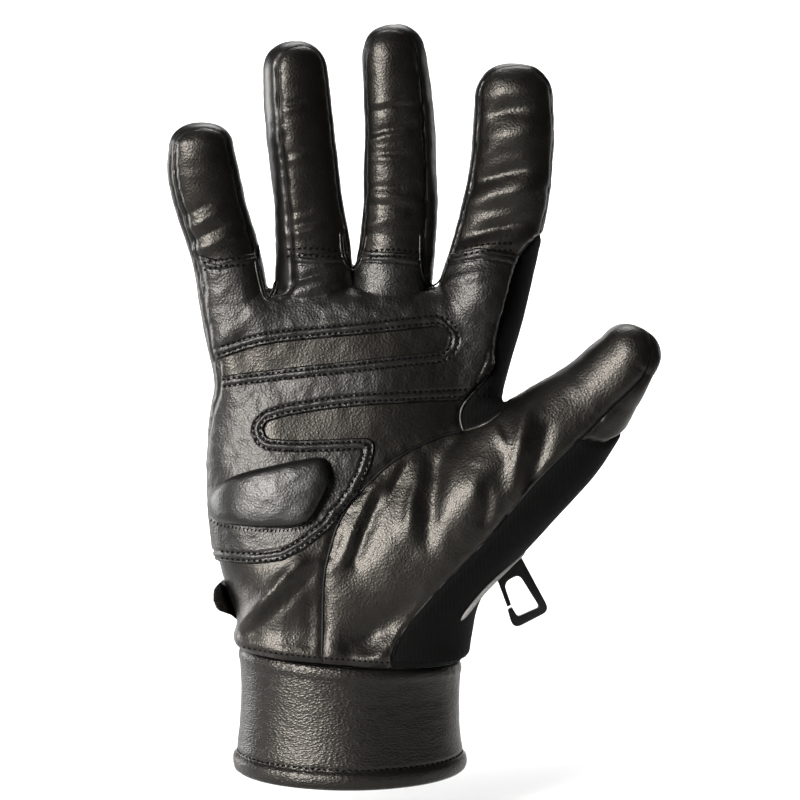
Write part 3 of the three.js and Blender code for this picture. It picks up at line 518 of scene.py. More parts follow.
def glove_field():
    """The whole hand on a grid, with the fingers and the thumb blended in."""
    axes = [np.arange(low, high, VOXEL) for low, high in zip(GRID_LOW, GRID_HIGH)]
    field = hand_field(*np.meshgrid(*axes, indexing="ij", sparse=True))
    for name, tube in TUBES.items():
        margin = max(tube.sizes.max() / 2, tube.tip) + TUBE_MARGIN
        ends = np.stack([tube.middle.min(axis=0) - margin, tube.middle.max(axis=0) + margin], axis=1)
        box = tuple(slice(*np.searchsorted(axis, pair)) for axis, pair in zip(axes, ends))
        grids = np.meshgrid(*(axis[part] for axis, part in zip(axes, box)), indexing="ij")
        points = np.stack([grid.ravel() for grid in grids], axis=1)
        width = BLEND["thumb"]
        if name != "thumb":
            width = BLEND["finger"] + BLEND["knuckle"] * smoothstep(0, 8, grids[1])
        field[box] = smooth_min(field[box], tube.field(points).reshape(grids[0].shape), width)
    return field


def sampled(field, points):
    """The field between its grid points."""
    at = np.clip((points - GRID_LOW) / VOXEL, 0, np.array(field.shape) - 1.001)
    cell = at.astype(int)
    return blended(field, cell, at - cell)


def gradient(field, points):
    steps = np.eye(3) * VOXEL
    slopes = [sampled(field, points + step) - sampled(field, points - step) for step in steps]
    return np.stack(slopes, axis=1) / (2 * VOXEL)


def face_normals(points, triangles):
    a, b, c = (points[column] for column in triangles.T)
    return np.cross(b - a, c - a)


def vertex_normals(points, triangles):
    facing = face_normals(points, triangles)
    total = np.zeros_like(points)
    for column in triangles.T:
        np.add.at(total, column, facing)
    return unit(total)


def glove_surface():
    """Triangles on the outside of the hand, and the field that they come from."""
    field = glove_field()
    grid = openvdb.FloatGrid()
    grid.copyFromArray(field.astype(np.float32))
    points, quads = grid.convertToQuads(0)
    points = points.astype(float) * VOXEL + GRID_LOW
    quads = quads.astype(int)
    for _ in range(2):
        slope = gradient(field, points)
        size = np.maximum((slope * slope).sum(axis=1), 0.05)
        points -= slope * (sampled(field, points) / size)[:, None]
    first, second = (np.linalg.norm(points[quads[:, k]] - points[quads[:, k + 2]], axis=1) for k in (0, 1))
    short = (first < second)[:, None]
    one = np.where(short, quads[:, [0, 1, 2]], quads[:, [0, 1, 3]])
    two = np.where(short, quads[:, [0, 2, 3]], quads[:, [1, 2, 3]])
    triangles = np.concatenate([one, two])
    if (face_normals(points, triangles) * gradient(field, points[triangles].mean(axis=1))).sum() < 0:
        triangles = triangles[:, ::-1]
    return points, triangles, field


def edge_pairs(triangles):
    """The three edges of each triangle, in its direction."""
    return np.concatenate([triangles[:, [k, (k + 1) % 3]] for k in range(3)])


def edges_of(triangles, **extras):
    """Each edge once, with whatever else numpy.unique is asked for."""
    return np.unique(np.sort(edge_pairs(triangles), axis=1), axis=0, **extras)


def boundary(triangles):
    """The open edges, in the direction of their triangles."""
    _, first, count = edges_of(triangles, return_index=True, return_counts=True)
    return edge_pairs(triangles)[first[count == 1]]


def seam_edges(triangles, label):
    """Edges with a region on each side: the two ends and the two regions."""
    pairs = np.sort(edge_pairs(triangles), axis=1)
    order = np.lexsort((pairs[:, 1], pairs[:, 0]))
    pairs, owner = pairs[order], np.tile(label, 3)[order]
    same = (pairs[1:] == pairs[:-1]).all(axis=1) & (owner[1:] != owner[:-1])
    return pairs[1:][same], np.stack([owner[1:][same], owner[:-1][same]], axis=1)


def snap(points, triangles, value, fixed):
    """Moves points onto the line where a value is 0, so that triangles don't cross it."""
    a, b = edges_of(triangles).T
    crossing = (value[a] * value[b] < 0) & ~(fixed[a] & fixed[b])
    a, b = a[crossing], b[crossing]
    t = value[a] / (value[a] - value[b])
    mover = np.where(((t < 0.5) | fixed[b]) & ~fixed[a], a, b)
    target = points[a] + (points[b] - points[a]) * t[:, None]
    order = np.argsort(-np.linalg.norm(target - points[mover], axis=1), kind="stable")
    points[mover[order]] = target[order]
    value[mover] = 0
    return value


def line_distance(x, z, line):
    """Distance in the XZ plane to a straight line, and the share of its length."""
    x0, z0, x1, z1 = line
    dx, dz = x1 - x0, z1 - z0
    t = np.clip(((x - x0) * dx + (z - z0) * dz) / max(dx * dx + dz * dz, 1e-9), 0, 1)
    return np.hypot(x - x0 - t * dx, z - z0 - t * dz), t


def outline_distance(points, corners):
    """Distance in the XZ plane to a closed outline, negative inside."""
    x, z = points[:, 0], points[:, 2]
    corners = np.asarray(corners, float)
    nearest = np.full(len(points), 1e9)
    inside = np.zeros(len(points), bool)
    for (x0, z0), (x1, z1) in zip(corners, np.roll(corners, -1, axis=0)):
        nearest = np.minimum(nearest, line_distance(x, z, (x0, z0, x1, z1))[0])
        between = (z0 > z) != (z1 > z)
        inside ^= between & (x < x0 + (x1 - x0) * (z - z0) / ((z1 - z0) or 1e-9))
    return np.where(inside, -nearest, nearest)


def right_of(line, points):
    line = curved(line)
    return outline_distance(points, [*line, (FAR, line[-1][1]), (FAR, line[0][1])])


def behind_side_seam(points):
    return points[:, 1] - level_of(SIDE_SEAM, points[:, 2])


def finger_leather(points, side):
    """Distance to the fingers' palm leather (side -1) or back leather (side 1)."""
    nearest = np.full(len(points), 50.0)
    for name, finger in FINGERS.items():
        distance, u, v, _, wide, deep = TUBES[name].local(points)
        left, right = finger["seams"][side]
        half = wide + FINGER_REACH
        line = deep * (left + (right - left) * ((u + half) / (2 * half)))
        cut = np.maximum((v - line) * -side, np.maximum(np.abs(u) - half, FINGER_ROOT - distance))
        nearest = np.minimum(nearest, cut)
    return nearest


def hand_leather(side, blend):
    """The leather of the palm (side -1) or the back (side 1), with its fingers."""

    def value(points):
        above_webs = points[:, 2] - level_of(dense(WEB_LINE, 200), points[:, 0])
        below = np.maximum(behind_side_seam(points) * -side, above_webs)
        return smooth_min(below, finger_leather(points, side), blend)

    return value


def thumb_leather(points):
    corners = [*curved([*THUMB_CROTCH, *THUMB_SEAM]), *curved(THUMB_SIDE_SEAM)[::-1]]
    return np.maximum(outline_distance(points, corners), behind_side_seam(points))


def thumb_back(points):
    low = np.maximum(right_of(THUMB_SIDE_SEAM, points), behind_side_seam(points))
    return np.minimum(right_of([*THUMB_CROTCH, *THUMB_ROOT], points), low)


def thumb_tip_back(points):
    return np.maximum(thumb_back(points), level_of(TIP_LEATHER, points[:, 0]) - points[:, 2])


def index_gusset(points):
    area = outline_distance(points, [*curved(GUSSET_SEAM), *GUSSET_BEYOND])
    return np.maximum(area, points[:, 1] - GUSSET_DEPTH)


def below_wrist(points):
    x, y, z = points.T
    return z - wrist_slope(x, y, z) - WRIST_SEAM


def left_of_finger(name):
    middle = TUBES[name].middle[:, [2, 0]]
    return lambda points: points[:, 0] - level_of(middle, points[:, 2])


# In this order: a region takes what the ones before it left. The last one takes the rest.
REGIONS = {
    "below": below_wrist,
    "thumb_leather": thumb_leather,
    "thumb_tip_leather": thumb_tip_back,
    "thumb_fabric": thumb_back,
    "gusset_fabric": index_gusset,
    "palm_leather": hand_leather(-1, BLEND["palm"]),
    "back_leather": hand_leather(1, BLEND["back"]),
    "side_little_ring": left_of_finger("ring"),
    "side_ring_middle": left_of_finger("middle"),
}
REGION_NAMES = [*REGIONS, "side_middle_index"]


def used(count, triangles):
    """Which of some points the triangles use."""
    mask = np.zeros(count, bool)
    mask[triangles] = True
    return mask


def label_regions(points, triangles):
    """Moves points onto the seams and gives each triangle its region's number."""
    label = np.full(len(triangles), len(REGIONS))
    fixed = np.zeros(len(points), bool)
    for number, region in enumerate(REGIONS.values()):
        left = label == len(REGIONS)
        value = snap(points, triangles[left], region(points), fixed)
        chosen = left & (value[triangles].sum(axis=1) < 0)
        label[chosen] = number
        fixed |= used(len(points), triangles[chosen]) & used(len(points), triangles[left & ~chosen])
    return label


def distance_from(points, triangles, start, reach, step=VOXEL):
    """Distance over the surface from some points, up to a reach."""
    a, b = edges_of(triangles).T
    length = np.linalg.norm(points[a] - points[b], axis=1)
    distance = np.full(len(points), float(reach))
    distance[start] = 0
    for _ in range(int(reach / step * 1.5)):
        np.minimum.at(distance, b, distance[a] + length)
        np.minimum.at(distance, a, distance[b] + length)
    return distance


def averaged(triangles, value, rounds):
    """Values of points, each drawn towards its neighbours'."""
    edges = edges_of(triangles)
    a, b = edges.T
    count = np.bincount(edges.ravel(), minlength=len(value))
    for _ in range(rounds):
        total = np.bincount(a, value[b], len(value)) + np.bincount(b, value[a], len(value))
        value = 0.5 * value + 0.5 * total / np.maximum(count, 1)
    return value


def link(item):
    bpy.context.scene.collection.objects.link(item)
    return item


def new_piece(name, points, faces, material, slot, node=None, wear_and_shade=None):
    """A mesh object in metres that rides on the glove's body. Its wear and shade runs from 0, painted shade
    in a seam, to 1, a worn ridge.
    """
    mesh = bpy.data.meshes.new(name)
    mesh.from_pydata(np.asarray(points) * MM, [], faces if isinstance(faces, list) else faces.tolist())
    mesh.validate()
    mesh.shade_smooth()
    mesh.set_sharp_from_angle(angle=math.radians(50))
    mesh.materials.append(MATERIALS[material])
    piece = link(bpy.data.objects.new(name, mesh))
    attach(piece, "root")
    if node:
        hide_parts(node)
    if wear_and_shade is not None:
        values = np.resize(wear_and_shade, len(mesh.vertices)).astype(np.float32)
        mesh.attributes.new("wear_and_shade", "FLOAT", "POINT").data.foreach_set("value", values)
    return piece


def part_of(points, triangles, *columns):
    """Only the points that some triangles use."""
    kept, index = np.unique(triangles, return_inverse=True)
    return points[kept], index.reshape(triangles.shape), *(column[kept] for column in columns)


def shell(points, normals, triangles, thickness):
    """A closed body: the triangles, the same ones further in, and a rim between them."""
    count = len(points)
    inner = points - normals * np.broadcast_to(thickness, count)[:, None]
    a, b = boundary(triangles).T
    rim = [np.stack([b, a, a + count], axis=1), np.stack([b, a + count, b + count], axis=1)]
    faces = np.concatenate([triangles, triangles[:, ::-1] + count, *rim])
    return np.concatenate([points, inner]), faces


def crease_height(points, normals):
    """The folds of the palm side, fading out on the sides and the back."""
    wander = uneven(points, FOLD_WANDER)
    height = np.zeros(len(points))
    for *line, width, fold in CREASES:
        away, t = line_distance(points[:, 0] + wander, points[:, 2] + wander, line)
        taper = np.sqrt(np.clip(np.sin(np.pi * (0.08 + 0.84 * t)), 0, 1))
        height += taper * bells(away, [(fold, 0, width)])
    return height * smoothstep(0.1, 0.75, -normals[:, 1])


def wrinkle_height(points):
    """Fine wrinkles across the fingers and at the wrist, and slack leather all over."""
    z = points[:, 2]
    fingers = smoothstep(*FINGERS_FROM, z) * (0.45 + uneven(points, FINGER_SLACK))
    height = fingers * uneven(points, FINGER_WRINKLES) + uneven(points, SLACK)
    return height + smoothstep(*WRIST_FROM, z) * uneven(points, WRIST_WRINKLES)


def away_from_tips(points):
    """Near 0 at the end of a finger, 1 further down."""
    nearest = np.min([np.linalg.norm(points - tip, axis=1) for tip in TIPS], axis=0)
    return 0.25 + 0.75 * smoothstep(7, 15, nearest)


def tinted(colour, share):
    return tuple(c * share for c in colour)


class Look:
    """A material, and what adds nodes to it."""

    def __init__(self, name, colour, roughness, **sockets):
        self.material = bpy.data.materials.new(name)
        self.material.use_nodes = True
        self.tree = self.material.node_tree
        self.shader = self.tree.nodes["Principled BSDF"]
        self.set(self.shader, Base_Color=colour, Roughness=roughness, **sockets)

    def put(self, socket, value):
        """Gives a socket a value, or joins another node's output to it."""
        if isinstance(value, bpy.types.NodeSocket):
            self.tree.links.new(value, socket)
        elif socket.type == "RGBA":
            socket.default_value = (*value, 1)
        else:
            socket.default_value = value

    def set(self, node, **sockets):
        for name, value in sockets.items():
            self.put(node.inputs[name.replace("_", " ")], value)
        return node

    def add(self, kind, **sockets):
        return self.set(self.tree.nodes.new("ShaderNode" + kind), **sockets)

    def place(self, scale=(1, 1, 1)):
        """Millimetres on the object, times a scale."""
        origin = self.add("TexCoord").outputs["Object"]
        return self.add("Mapping", Vector=origin, Scale=[s / MM for s in scale]).outputs["Vector"]

    def noise(self, place, **sockets):
        return self.add("TexNoise", Vector=place, **sockets).outputs["Fac"]

    def cells(self, place, scale):
        return self.add("TexVoronoi", Vector=place, Scale=scale).outputs["Distance"]

    def wandered(self, place, size, amount):
        """The same coordinates, pushed about by a soft noise."""
        node = self.add("VectorMath")
        node.operation = "MULTIPLY_ADD"
        noise = self.add("TexNoise", Vector=place, Scale=1 / size, Detail=1).outputs["Color"]
        for socket, value in zip(node.inputs, (noise, (amount,) * 3, place)):
            self.put(socket, value)
        return node.outputs["Vector"]

    def ramp(self, factor, *stops):
        """A ramp of two stops: position and grey or colour."""
        node = self.add("ValToRGB", Fac=factor)
        for element, (position, colour) in zip(node.color_ramp.elements, stops):
            element.position = position
            element.color = (*colour, 1) if isinstance(colour, tuple) else (colour, colour, colour, 1)
        return node.outputs["Color"]

    def mix(self, factor, a, b):
        """One colour into another; the node's colour sockets have the numbers 6 and 7."""
        node = self.add("Mix")
        node.data_type = "RGBA"
        for number, value in ((0, factor), (6, a), (7, b)):
            self.put(node.inputs[number], value)
        return node.outputs[2]

    def bump(self, height, strength, distance, **before):
        node = self.add("Bump", Height=height, Strength=strength, Distance=distance * MM, **before)
        return node.outputs["Normal"]


def leather(name, colour, roughness, warmth, grain=1, pebble=1, stretch=1):
    """Satin leather with a fine pebble grain: worn lighter on its ridges, with painted shade in its seams and
    hollows.
    """
    look = Look(name, colour, roughness, Specular_Tint=(1, 1 - 0.45 * warmth, 1 - warmth))
    place = look.place((1, 1, stretch))
    cells = look.cells(look.wandered(place, 1.6, 0.35), 1 / (0.8 * grain))
    fine = look.noise(place, Scale=2, Detail=2, Roughness=0.6)
    broad = look.noise(place, Scale=0.09, Detail=3)
    soft = look.noise(place, Scale=0.2, Detail=1)
    wear_and_shade = look.add("Attribute")
    wear_and_shade.attribute_name = "wear_and_shade"
    tone = look.ramp(broad, (0.35, tinted(colour, 0.6)), (0.65, tinted(colour, 1.6)))
    worn = look.ramp(wear_and_shade.outputs["Fac"], (0.5, 0), (1, 1))
    tone = look.mix(worn, tone, tinted(colour, 3))
    # Painted shade: a low wear-and-shade value darkens the colour in seams and hollows.
    seam = look.ramp(wear_and_shade.outputs["Fac"], (0, 1), (0.45, 0))
    tone = look.mix(seam, tone, tinted(colour, 0.3))
    shine = look.ramp(fine, (0.3, roughness - 0.05), (0.7, roughness + 0.05))
    groove = look.ramp(cells, (0.1, 1), (0.65, 0))
    matt = roughness + 0.07
    normal = look.bump(soft, 0.08, 0.7)
    normal = look.bump(groove, 0.36 * pebble, 0.13, Normal=normal)
    normal = look.bump(fine, 0.14 * pebble, 0.14, Normal=normal)
    look.set(look.shader, Base_Color=tone, Roughness=look.mix(groove, (matt,) * 3, shine), Normal=normal)
    return look.material


def fabric(name, colour, ribs):
    """Matt stretch fabric with fine ribs."""
    look = Look(name, colour, 0.8, Specular_IOR_Level=0.12)
    place = look.place((0.7, 0.7, 0.72))
    wave = look.add("TexWave", Vector=place, Scale=ribs, Distortion=1.2, Detail=2).outputs["Fac"]
    weave = look.cells(look.place(), 2.6)
    tone = look.ramp(weave, (0, tinted(colour, 1.6)), (0.7, colour))
    normal = look.bump(weave, 0.4, 0.15, Normal=look.bump(wave, 0.5, 0.25))
    look.set(look.shader, Base_Color=tone, Normal=normal)
    return look.material


def plain(name, colour, roughness, size, depth, **sockets):
    """Moulded plastic, thread or piping: an even colour with a fine uneven surface."""
    look = Look(name, colour, roughness, **sockets)
    noise = look.noise(look.place(), Scale=size, Detail=3)
    tone = look.ramp(noise, (0.3, tinted(colour, 0.75)), (0.7, tinted(colour, 1.2)))
    spread = look.ramp(noise, (0.2, roughness - 0.08), (0.8, roughness + 0.08))
    look.set(look.shader, Base_Color=tone, Roughness=spread, Normal=look.bump(noise, 0.4, depth))
    return look.material


MATERIALS = {
    "palm": leather("palm_leather", (0.0016, 0.0014, 0.0011), 0.335, 0.15),
    "back": leather("back_leather", (0.0016, 0.0015, 0.0013), 0.34, 0.1, 1.15),
    "side": leather("side_leather", (0.0022, 0.0021, 0.002), 0.32, 0.06, 0.8, 0.5),
    "overlay": leather("overlay_leather", (0.0017, 0.0015, 0.0013), 0.36, 0.07, 1, 1.2),
    "pad": leather("pad_leather", (0.0017, 0.0016, 0.0014), 0.33, 0.04, 1, 0.8),
    "cuff": leather("cuff_leather", (0.0016, 0.0014, 0.0012), 0.31, 0.14, 1.4, 1.8, 1.9),
    "fabric": fabric("stretch_fabric", (0.0012, 0.0012, 0.0012), 1.1),
    "webbing": fabric("hook_webbing", (0.004, 0.004, 0.0043), 1.6),
    "thread": plain("black_thread", (0.0015, 0.0015, 0.0015), 0.8, 3, 0.05, Specular_IOR_Level=0.1),
    "cord": plain("black_cord", (0.0015, 0.0015, 0.0015), 0.5, 3, 0.05, Specular_IOR_Level=0.25),
    # The seam bead's lighter grey is a painted highlight: the light that a turned seam edge catches.
    "bead": plain("seam_bead", (0.02, 0.0185, 0.016), 0.36, 2, 0.1),
    "piping": plain("light_piping", (0.3, 0.29, 0.28), 0.45, 2, 0.08),
    "plastic": plain("hook_plastic", (0.003, 0.003, 0.0035), 0.38, 1.6, 0.05),
}


def slot_line(rows, grow):
    """A slot's side lines and round end, as seen from the palm."""
    table = curved(rows)
    middle = table[:, :2]
    left = lefts(middle) * (table[:, 2:] + grow)
    ahead = np.array([left[0][1], -left[0][0]])
    turns = np.radians(np.arange(-80, 81, 10))
    end = [middle[0] - ahead * math.cos(t) - left[0] * math.sin(t) for t in turns]
    return np.concatenate([(middle + left)[::-1], end, middle - left])


def overlay_distance(points):
    """Distance to the reinforcement's edge, negative inside, with its corner rounded."""
    outer = outline_distance(points, REINFORCEMENT)
    inner = -np.minimum(*(outline_distance(points, slot_line(rows, 0)) for rows in (UPPER_SLOT, LOWER_SLOT)))
    near_corner = np.linalg.norm(points[:, [0, 2]] - SLOT_CORNER, axis=1) < 3 * CORNER_ROUND
    overlap = np.clip(CORNER_BLEND - np.abs(outer - inner), 0, None) * near_corner
    return np.maximum(outer, inner) + overlap**2 / (4 * CORNER_BLEND)


def subdivided(points, triangles):
    """Each triangle cut into four."""
    edges, index = edges_of(triangles, return_inverse=True)
    a, b, c = triangles.T
    ab, bc, ca = index.reshape(3, -1) + len(points)
    new = [(a, ab, ca), (ab, b, bc), (ca, bc, c), (ab, bc, ca)]
    faces = np.concatenate([np.stack(row, axis=1) for row in new])
    return np.concatenate([points, points[edges].mean(axis=1)]), faces


def overlay_piece(skin, palm_triangles):
    """The reinforcement: a second layer on the palm with a rounded edge and stitched grooves."""
    moved = skin.copy()
    value = snap(moved, palm_triangles, overlay_distance(skin), np.zeros(len(skin), bool))
    base, faces = part_of(moved, palm_triangles[value[palm_triangles].sum(axis=1) < 0])
    base, faces = subdivided(base, faces)
    rim = np.unique(boundary(faces))
    is_edge = np.abs(overlay_distance(base[rim])) < 0.4
    from_rims = [distance_from(base, faces, rim[part], 6, VOXEL / 2) for part in (is_edge, ~is_edge)]
    inward, from_seam = (averaged(faces, distance, 2) for distance in from_rims)
    inward[rim[is_edge]] = 0
    out = unit(np.stack([averaged(faces, column, 6) for column in vertex_normals(base, faces).T], axis=1))
    folded = smoothstep(*FOLD_LINE, base[:, 2])
    share = np.clip(inward / (EDGE_ROUND * (1 + 1.6 * folded)), 0, 1)
    rise = OVERLAY * np.sqrt(1 - (1 - share) ** 2) + bells(inward, OVERLAY_PROFILE)
    rise = np.maximum(rise * smoothstep(0, 3.5, from_seam) + uneven(base, OVERLAY_SLACK), 0.05)
    top = base + out * (GAP + rise)[:, None]
    body, all_faces = shell(top, out, faces, GAP / 2 + rise)
    # The reinforcement's edge is rubbed lighter; painted shade darkens it along the stitched rows.
    wear_and_shade = 0.42 + bells(inward, OVERLAY_EDGE_WEAR) * (1 - folded) + bells(inward, OVERLAY_ROW_SHADE)
    wear_and_shade = np.clip(wear_and_shade, 0, 1)
    new_piece("overlay_leather", body, all_faces, "overlay", "overlay_leather", "palm_reinforcement", wear_and_shade)
    return top, faces


def search_tree(*meshes):
    """A search tree over several meshes of triangles."""
    starts = np.cumsum([0, *(len(points) for points, _ in meshes)])
    points = np.concatenate([points for points, _ in meshes])
    triangles = np.concatenate([triangles + start for (_, triangles), start in zip(meshes, starts)])
    return BVHTree.FromPolygons(points.tolist(), triangles.tolist())


def seen(tree, x, z):
    """The point and the normal of a surface that show at x and z from the palm, if any."""
    return tree.ray_cast(Vector((x, -80, z)), Vector((0, 1, 0)))[:2]


def on_surface(tree, x, z, rise):
    """The point of a surface seen at x and z from the palm, moved out."""
    hit, _ = seen(tree, x, z)
    return (x, (hit.y if hit else 0) - rise, z)


def ring_faces(rings, closed=False):
    """Faces between rings of equal length, and the two ends or, if it's closed, the last to the first."""
    count = len(rings[0])
    faces = []
    for r in range(len(rings) if closed else len(rings) - 1):
        below, above = r * count, (r + 1) % len(rings) * count
        for s in range(count):
            t = (s + 1) % count
            faces.append((below + s, below + t, above + t, above + s))
    if not closed:
        end = len(rings) * count
        faces += [tuple(range(count))[::-1], tuple(range(end - count, end))]
    return faces


def heel_pad(tree):
    """A teardrop pad: steep rounded sides and a crowned, softly dented top."""
    outline = closed_curve(PAD, 0.8)
    middle = outline.mean(axis=0)
    rings, wear_and_shade = [], []
    for inset, rise in dense(PAD_DOME, 26):
        ring = np.array([on_surface(tree, x, z, rise) for x, z in outline + (middle - outline) * inset])
        lean = PAD_LEAN * (ring[:, 0] - middle[0])
        ring[:, 1] += (uneven(ring, PAD_DENTS) - lean) * smoothstep(0, 3, rise)
        rings.append(ring)
        # Painted shade darkens the foot of the pad's sides; its top stays plain.
        wear_and_shade += [0.1 + 0.4 * smoothstep(0.5, 3, rise)] * len(ring)
    hub = on_surface(tree, *middle, PAD_HEIGHT)
    points = np.concatenate([*rings, [hub]])
    faces = ring_faces(rings)
    rim = faces.pop()
    faces += [(a, b, len(points) - 1) for a, b in zip(rim, rim[1:] + rim[:1])]
    pad = new_piece("heel_cushion", points, faces, "pad", "pad_leather", "heel_pad", [*wear_and_shade, PLAIN_WEAR])


def stitch_piece(name, slot, rows, half_length, radius, sink=0, twist=0):
    """One plump thread at each (place, along, out) of some rows."""
    turns = np.radians(np.arange(0, 360, 60))
    rings = [[(place, size * math.cos(t), size * math.sin(t)) for t in turns] for place, size in THREAD]
    shape = np.concatenate(rings) * (half_length, radius, radius * 0.8)
    quads = np.array(ring_faces(rings)[:-2])
    points, faces = [], []
    for place, along, out in rows:
        along = along * math.cos(twist) + np.cross(out, along) * math.sin(twist)
        faces.append(quads + len(points) * len(shape))
        points.append(place - out * sink + shape @ np.array([along, np.cross(out, along), out]))
    new_piece(name, np.concatenate(points), np.concatenate(faces), "thread", slot)


def stitch_row(tree, line, pitch):
    """Even places along a line seen from the palm, where it lies on a surface."""
    found = [seen(tree, x, z) for x, z in spaced(line, pitch)]
    lies = [hit is not None and abs(normal.y) > FACING for hit, normal in found]
    rows = []
    for k in range(1, len(found) - 1):
        if not all(lies[k - 1 : k + 2]):
            continue
        before, here, after = (np.array(found[k + step][0]) for step in (-1, 0, 1))
        along = after - before
        out = np.array(found[k][1])
        out *= -np.sign(out[1])
        if np.linalg.norm(along) <= JUMP * pitch:
            rows.append((here, unit(along - out * (along @ out)), out))
    return rows


def chains(edges):
    """Joins edges end to end into lines of points."""
    neighbours = {}
    for a, b in edges.tolist():
        neighbours.setdefault(a, []).append(b)
        neighbours.setdefault(b, []).append(a)
    ends = [point for point, others in neighbours.items() if len(others) != 2]
    walked, lines = set(), []
    for start in ends + list(neighbours):
        for second in neighbours[start]:
            if (start, second) in walked:
                continue
            line = [start]
            a, b = start, second
            while True:
                walked.update([(a, b), (b, a)])
                line.append(b)
                onward = [point for point in neighbours[b] if (b, point) not in walked]
                if len(neighbours[b]) != 2 or not onward:
                    break
                a, b = b, onward[0]
            lines.append(line)
    return lines


def tube(line, radius, sides=8, taper=3):
    """Points and faces of a round bead along a line, with closed, tapered ends."""
    along = unit(np.gradient(line, axis=0))
    side = np.cross(along[0], (0.3, 1, 0.2))
    turns = 2 * np.pi * np.arange(sides)[:, None] / sides
    rings = []
    for k, place in enumerate(line):
        side = unit(side - along[k] * (side @ along[k]))
        up = np.cross(along[k], side)
        from_end = min(k, len(line) - 1 - k)
        size = radius * math.sin(min(from_end + 0.4, taper) / taper * math.pi / 2)
        rings.append(place + size * (np.cos(turns) * side + np.sin(turns) * up))
    return np.concatenate(rings), ring_faces(rings)


def tubes_piece(name, lines, radius, material, slot):
    points, faces = [], []
    for line in lines:
        new_points, new_faces = tube(line, radius)
        faces += [tuple(index + len(points) for index in face) for face in new_faces]
        points += new_points.tolist()
    new_piece(name, points, faces, material, slot)


def between(region, others):
    """The seam edges between a region and some others."""
    numbers = [REGION_NAMES.index(name) for name in (region, *others)]
    return seams[np.isin(seam_sides, numbers).all(axis=1) & (seam_sides == numbers[0]).any(axis=1)]


def bead_lines(edges, lift):
    """A line over each seam that some seam edges make."""
    lines = []
    for chain in chains(edges):
        if len(chain) >= 8:
            out = unit(relaxed(normals[chain], 12))
            lines.append(spaced(relaxed(skin[chain], 12) + out * lift, 0.7))
    return lines


def crotch_lines(tree, inward):
    lines = []
    for corners in CROTCH_BEADS:
        hits = [seen(tree, x, z)[0] for x, z in shifted(curved(corners, 0.6), inward)]
        line = np.array([tuple(hit) for hit in hits if hit])
        lines.append(spaced(relaxed(line, 8), 0.5))
    return lines


def squared(angles, squareness):
    """Across and depth of a rounded square at some angles."""
    return [np.sign(turn) * np.abs(turn) ** (2 / squareness) for turn in (np.cos(angles), np.sin(angles))]


def cuff_place(angles, z, grow):
    """Points of the cuff's outside, moved out by some millimetres."""
    half = level_of(dense(CUFF, 200), z)
    across, depth = squared(angles, SQUARENESS["cuff"])
    x = (half + grow) * across
    y = (half * CUFF_DEPTH + grow) * depth
    return np.stack([x, y, z + wrist_slope(x, y, z)], axis=-1)


def cuff_piece():
    """The folded cuff: wrinkles, gathers under the seam, the stitched line and the plump hem."""
    angles = np.linspace(0, 2 * math.pi, 280, endpoint=False)
    profile = [*((0, z) for z in CUFF_OUTSIDE), *CUFF_RIM, *((-CUFF_WALL, z) for z in CUFF_INSIDE), *CUFF_HEM]
    rings = []
    for grow, z in profile:
        levels = np.full(len(angles), float(z))
        ring = cuff_place(angles, levels, grow)
        if grow == 0:
            height = uneven(ring, CUFF_WRINKLES) + smoothstep(*GATHERS_FROM, z) * uneven(ring, CUFF_GATHERS)
            ring = cuff_place(angles, levels, height + bells(z, CUFF_PROFILE))
        rings.append(ring)
    points, faces = np.concatenate(rings), ring_faces(rings, closed=True)
    levels = np.repeat([z for _, z in profile], len(angles))
    # Painted shade along the stitched hem line, a hem fold rubbed lighter, and uneven wear.
    wear_and_shade = PLAIN_WEAR + bells(levels, CUFF_WEAR_AND_SHADE) + uneven(points, CUFF_UNEVEN_WEAR)
    new_piece("cuff_leather", points, faces, "cuff", "cuff_leather", "cuff_band", wear_and_shade)


def round_wrist(line, pitch):
    """Even places along a line round the wrist, and the directions along it and outwards."""
    line = spaced(line, pitch)
    along = unit(np.gradient(line, axis=0))
    return line, along, unit(np.cross(along, UP))


def hem_rows():
    angles = np.linspace(0, 2 * math.pi, 1200)
    line = cuff_place(angles, np.full(len(angles), float(HEM_LINE)), HEM_ROW["sink"])
    return list(zip(*round_wrist(line, HEM_ROW["pitch"])))[:-1]


def wrist_rows(tree):
    """The stitched row on the palm side that follows the wrist seam."""
    start, end, step, above, pitch = WRIST_ROW
    line = []
    for x in np.arange(start, end, step):
        z = WRIST_SEAM + above
        for _ in range(3):
            hit, _ = seen(tree, x, z)
            if hit:
                z = WRIST_SEAM + above + float(wrist_slope(x, hit.y, z))
        line.append((x, z))
    return stitch_row(tree, line, pitch)


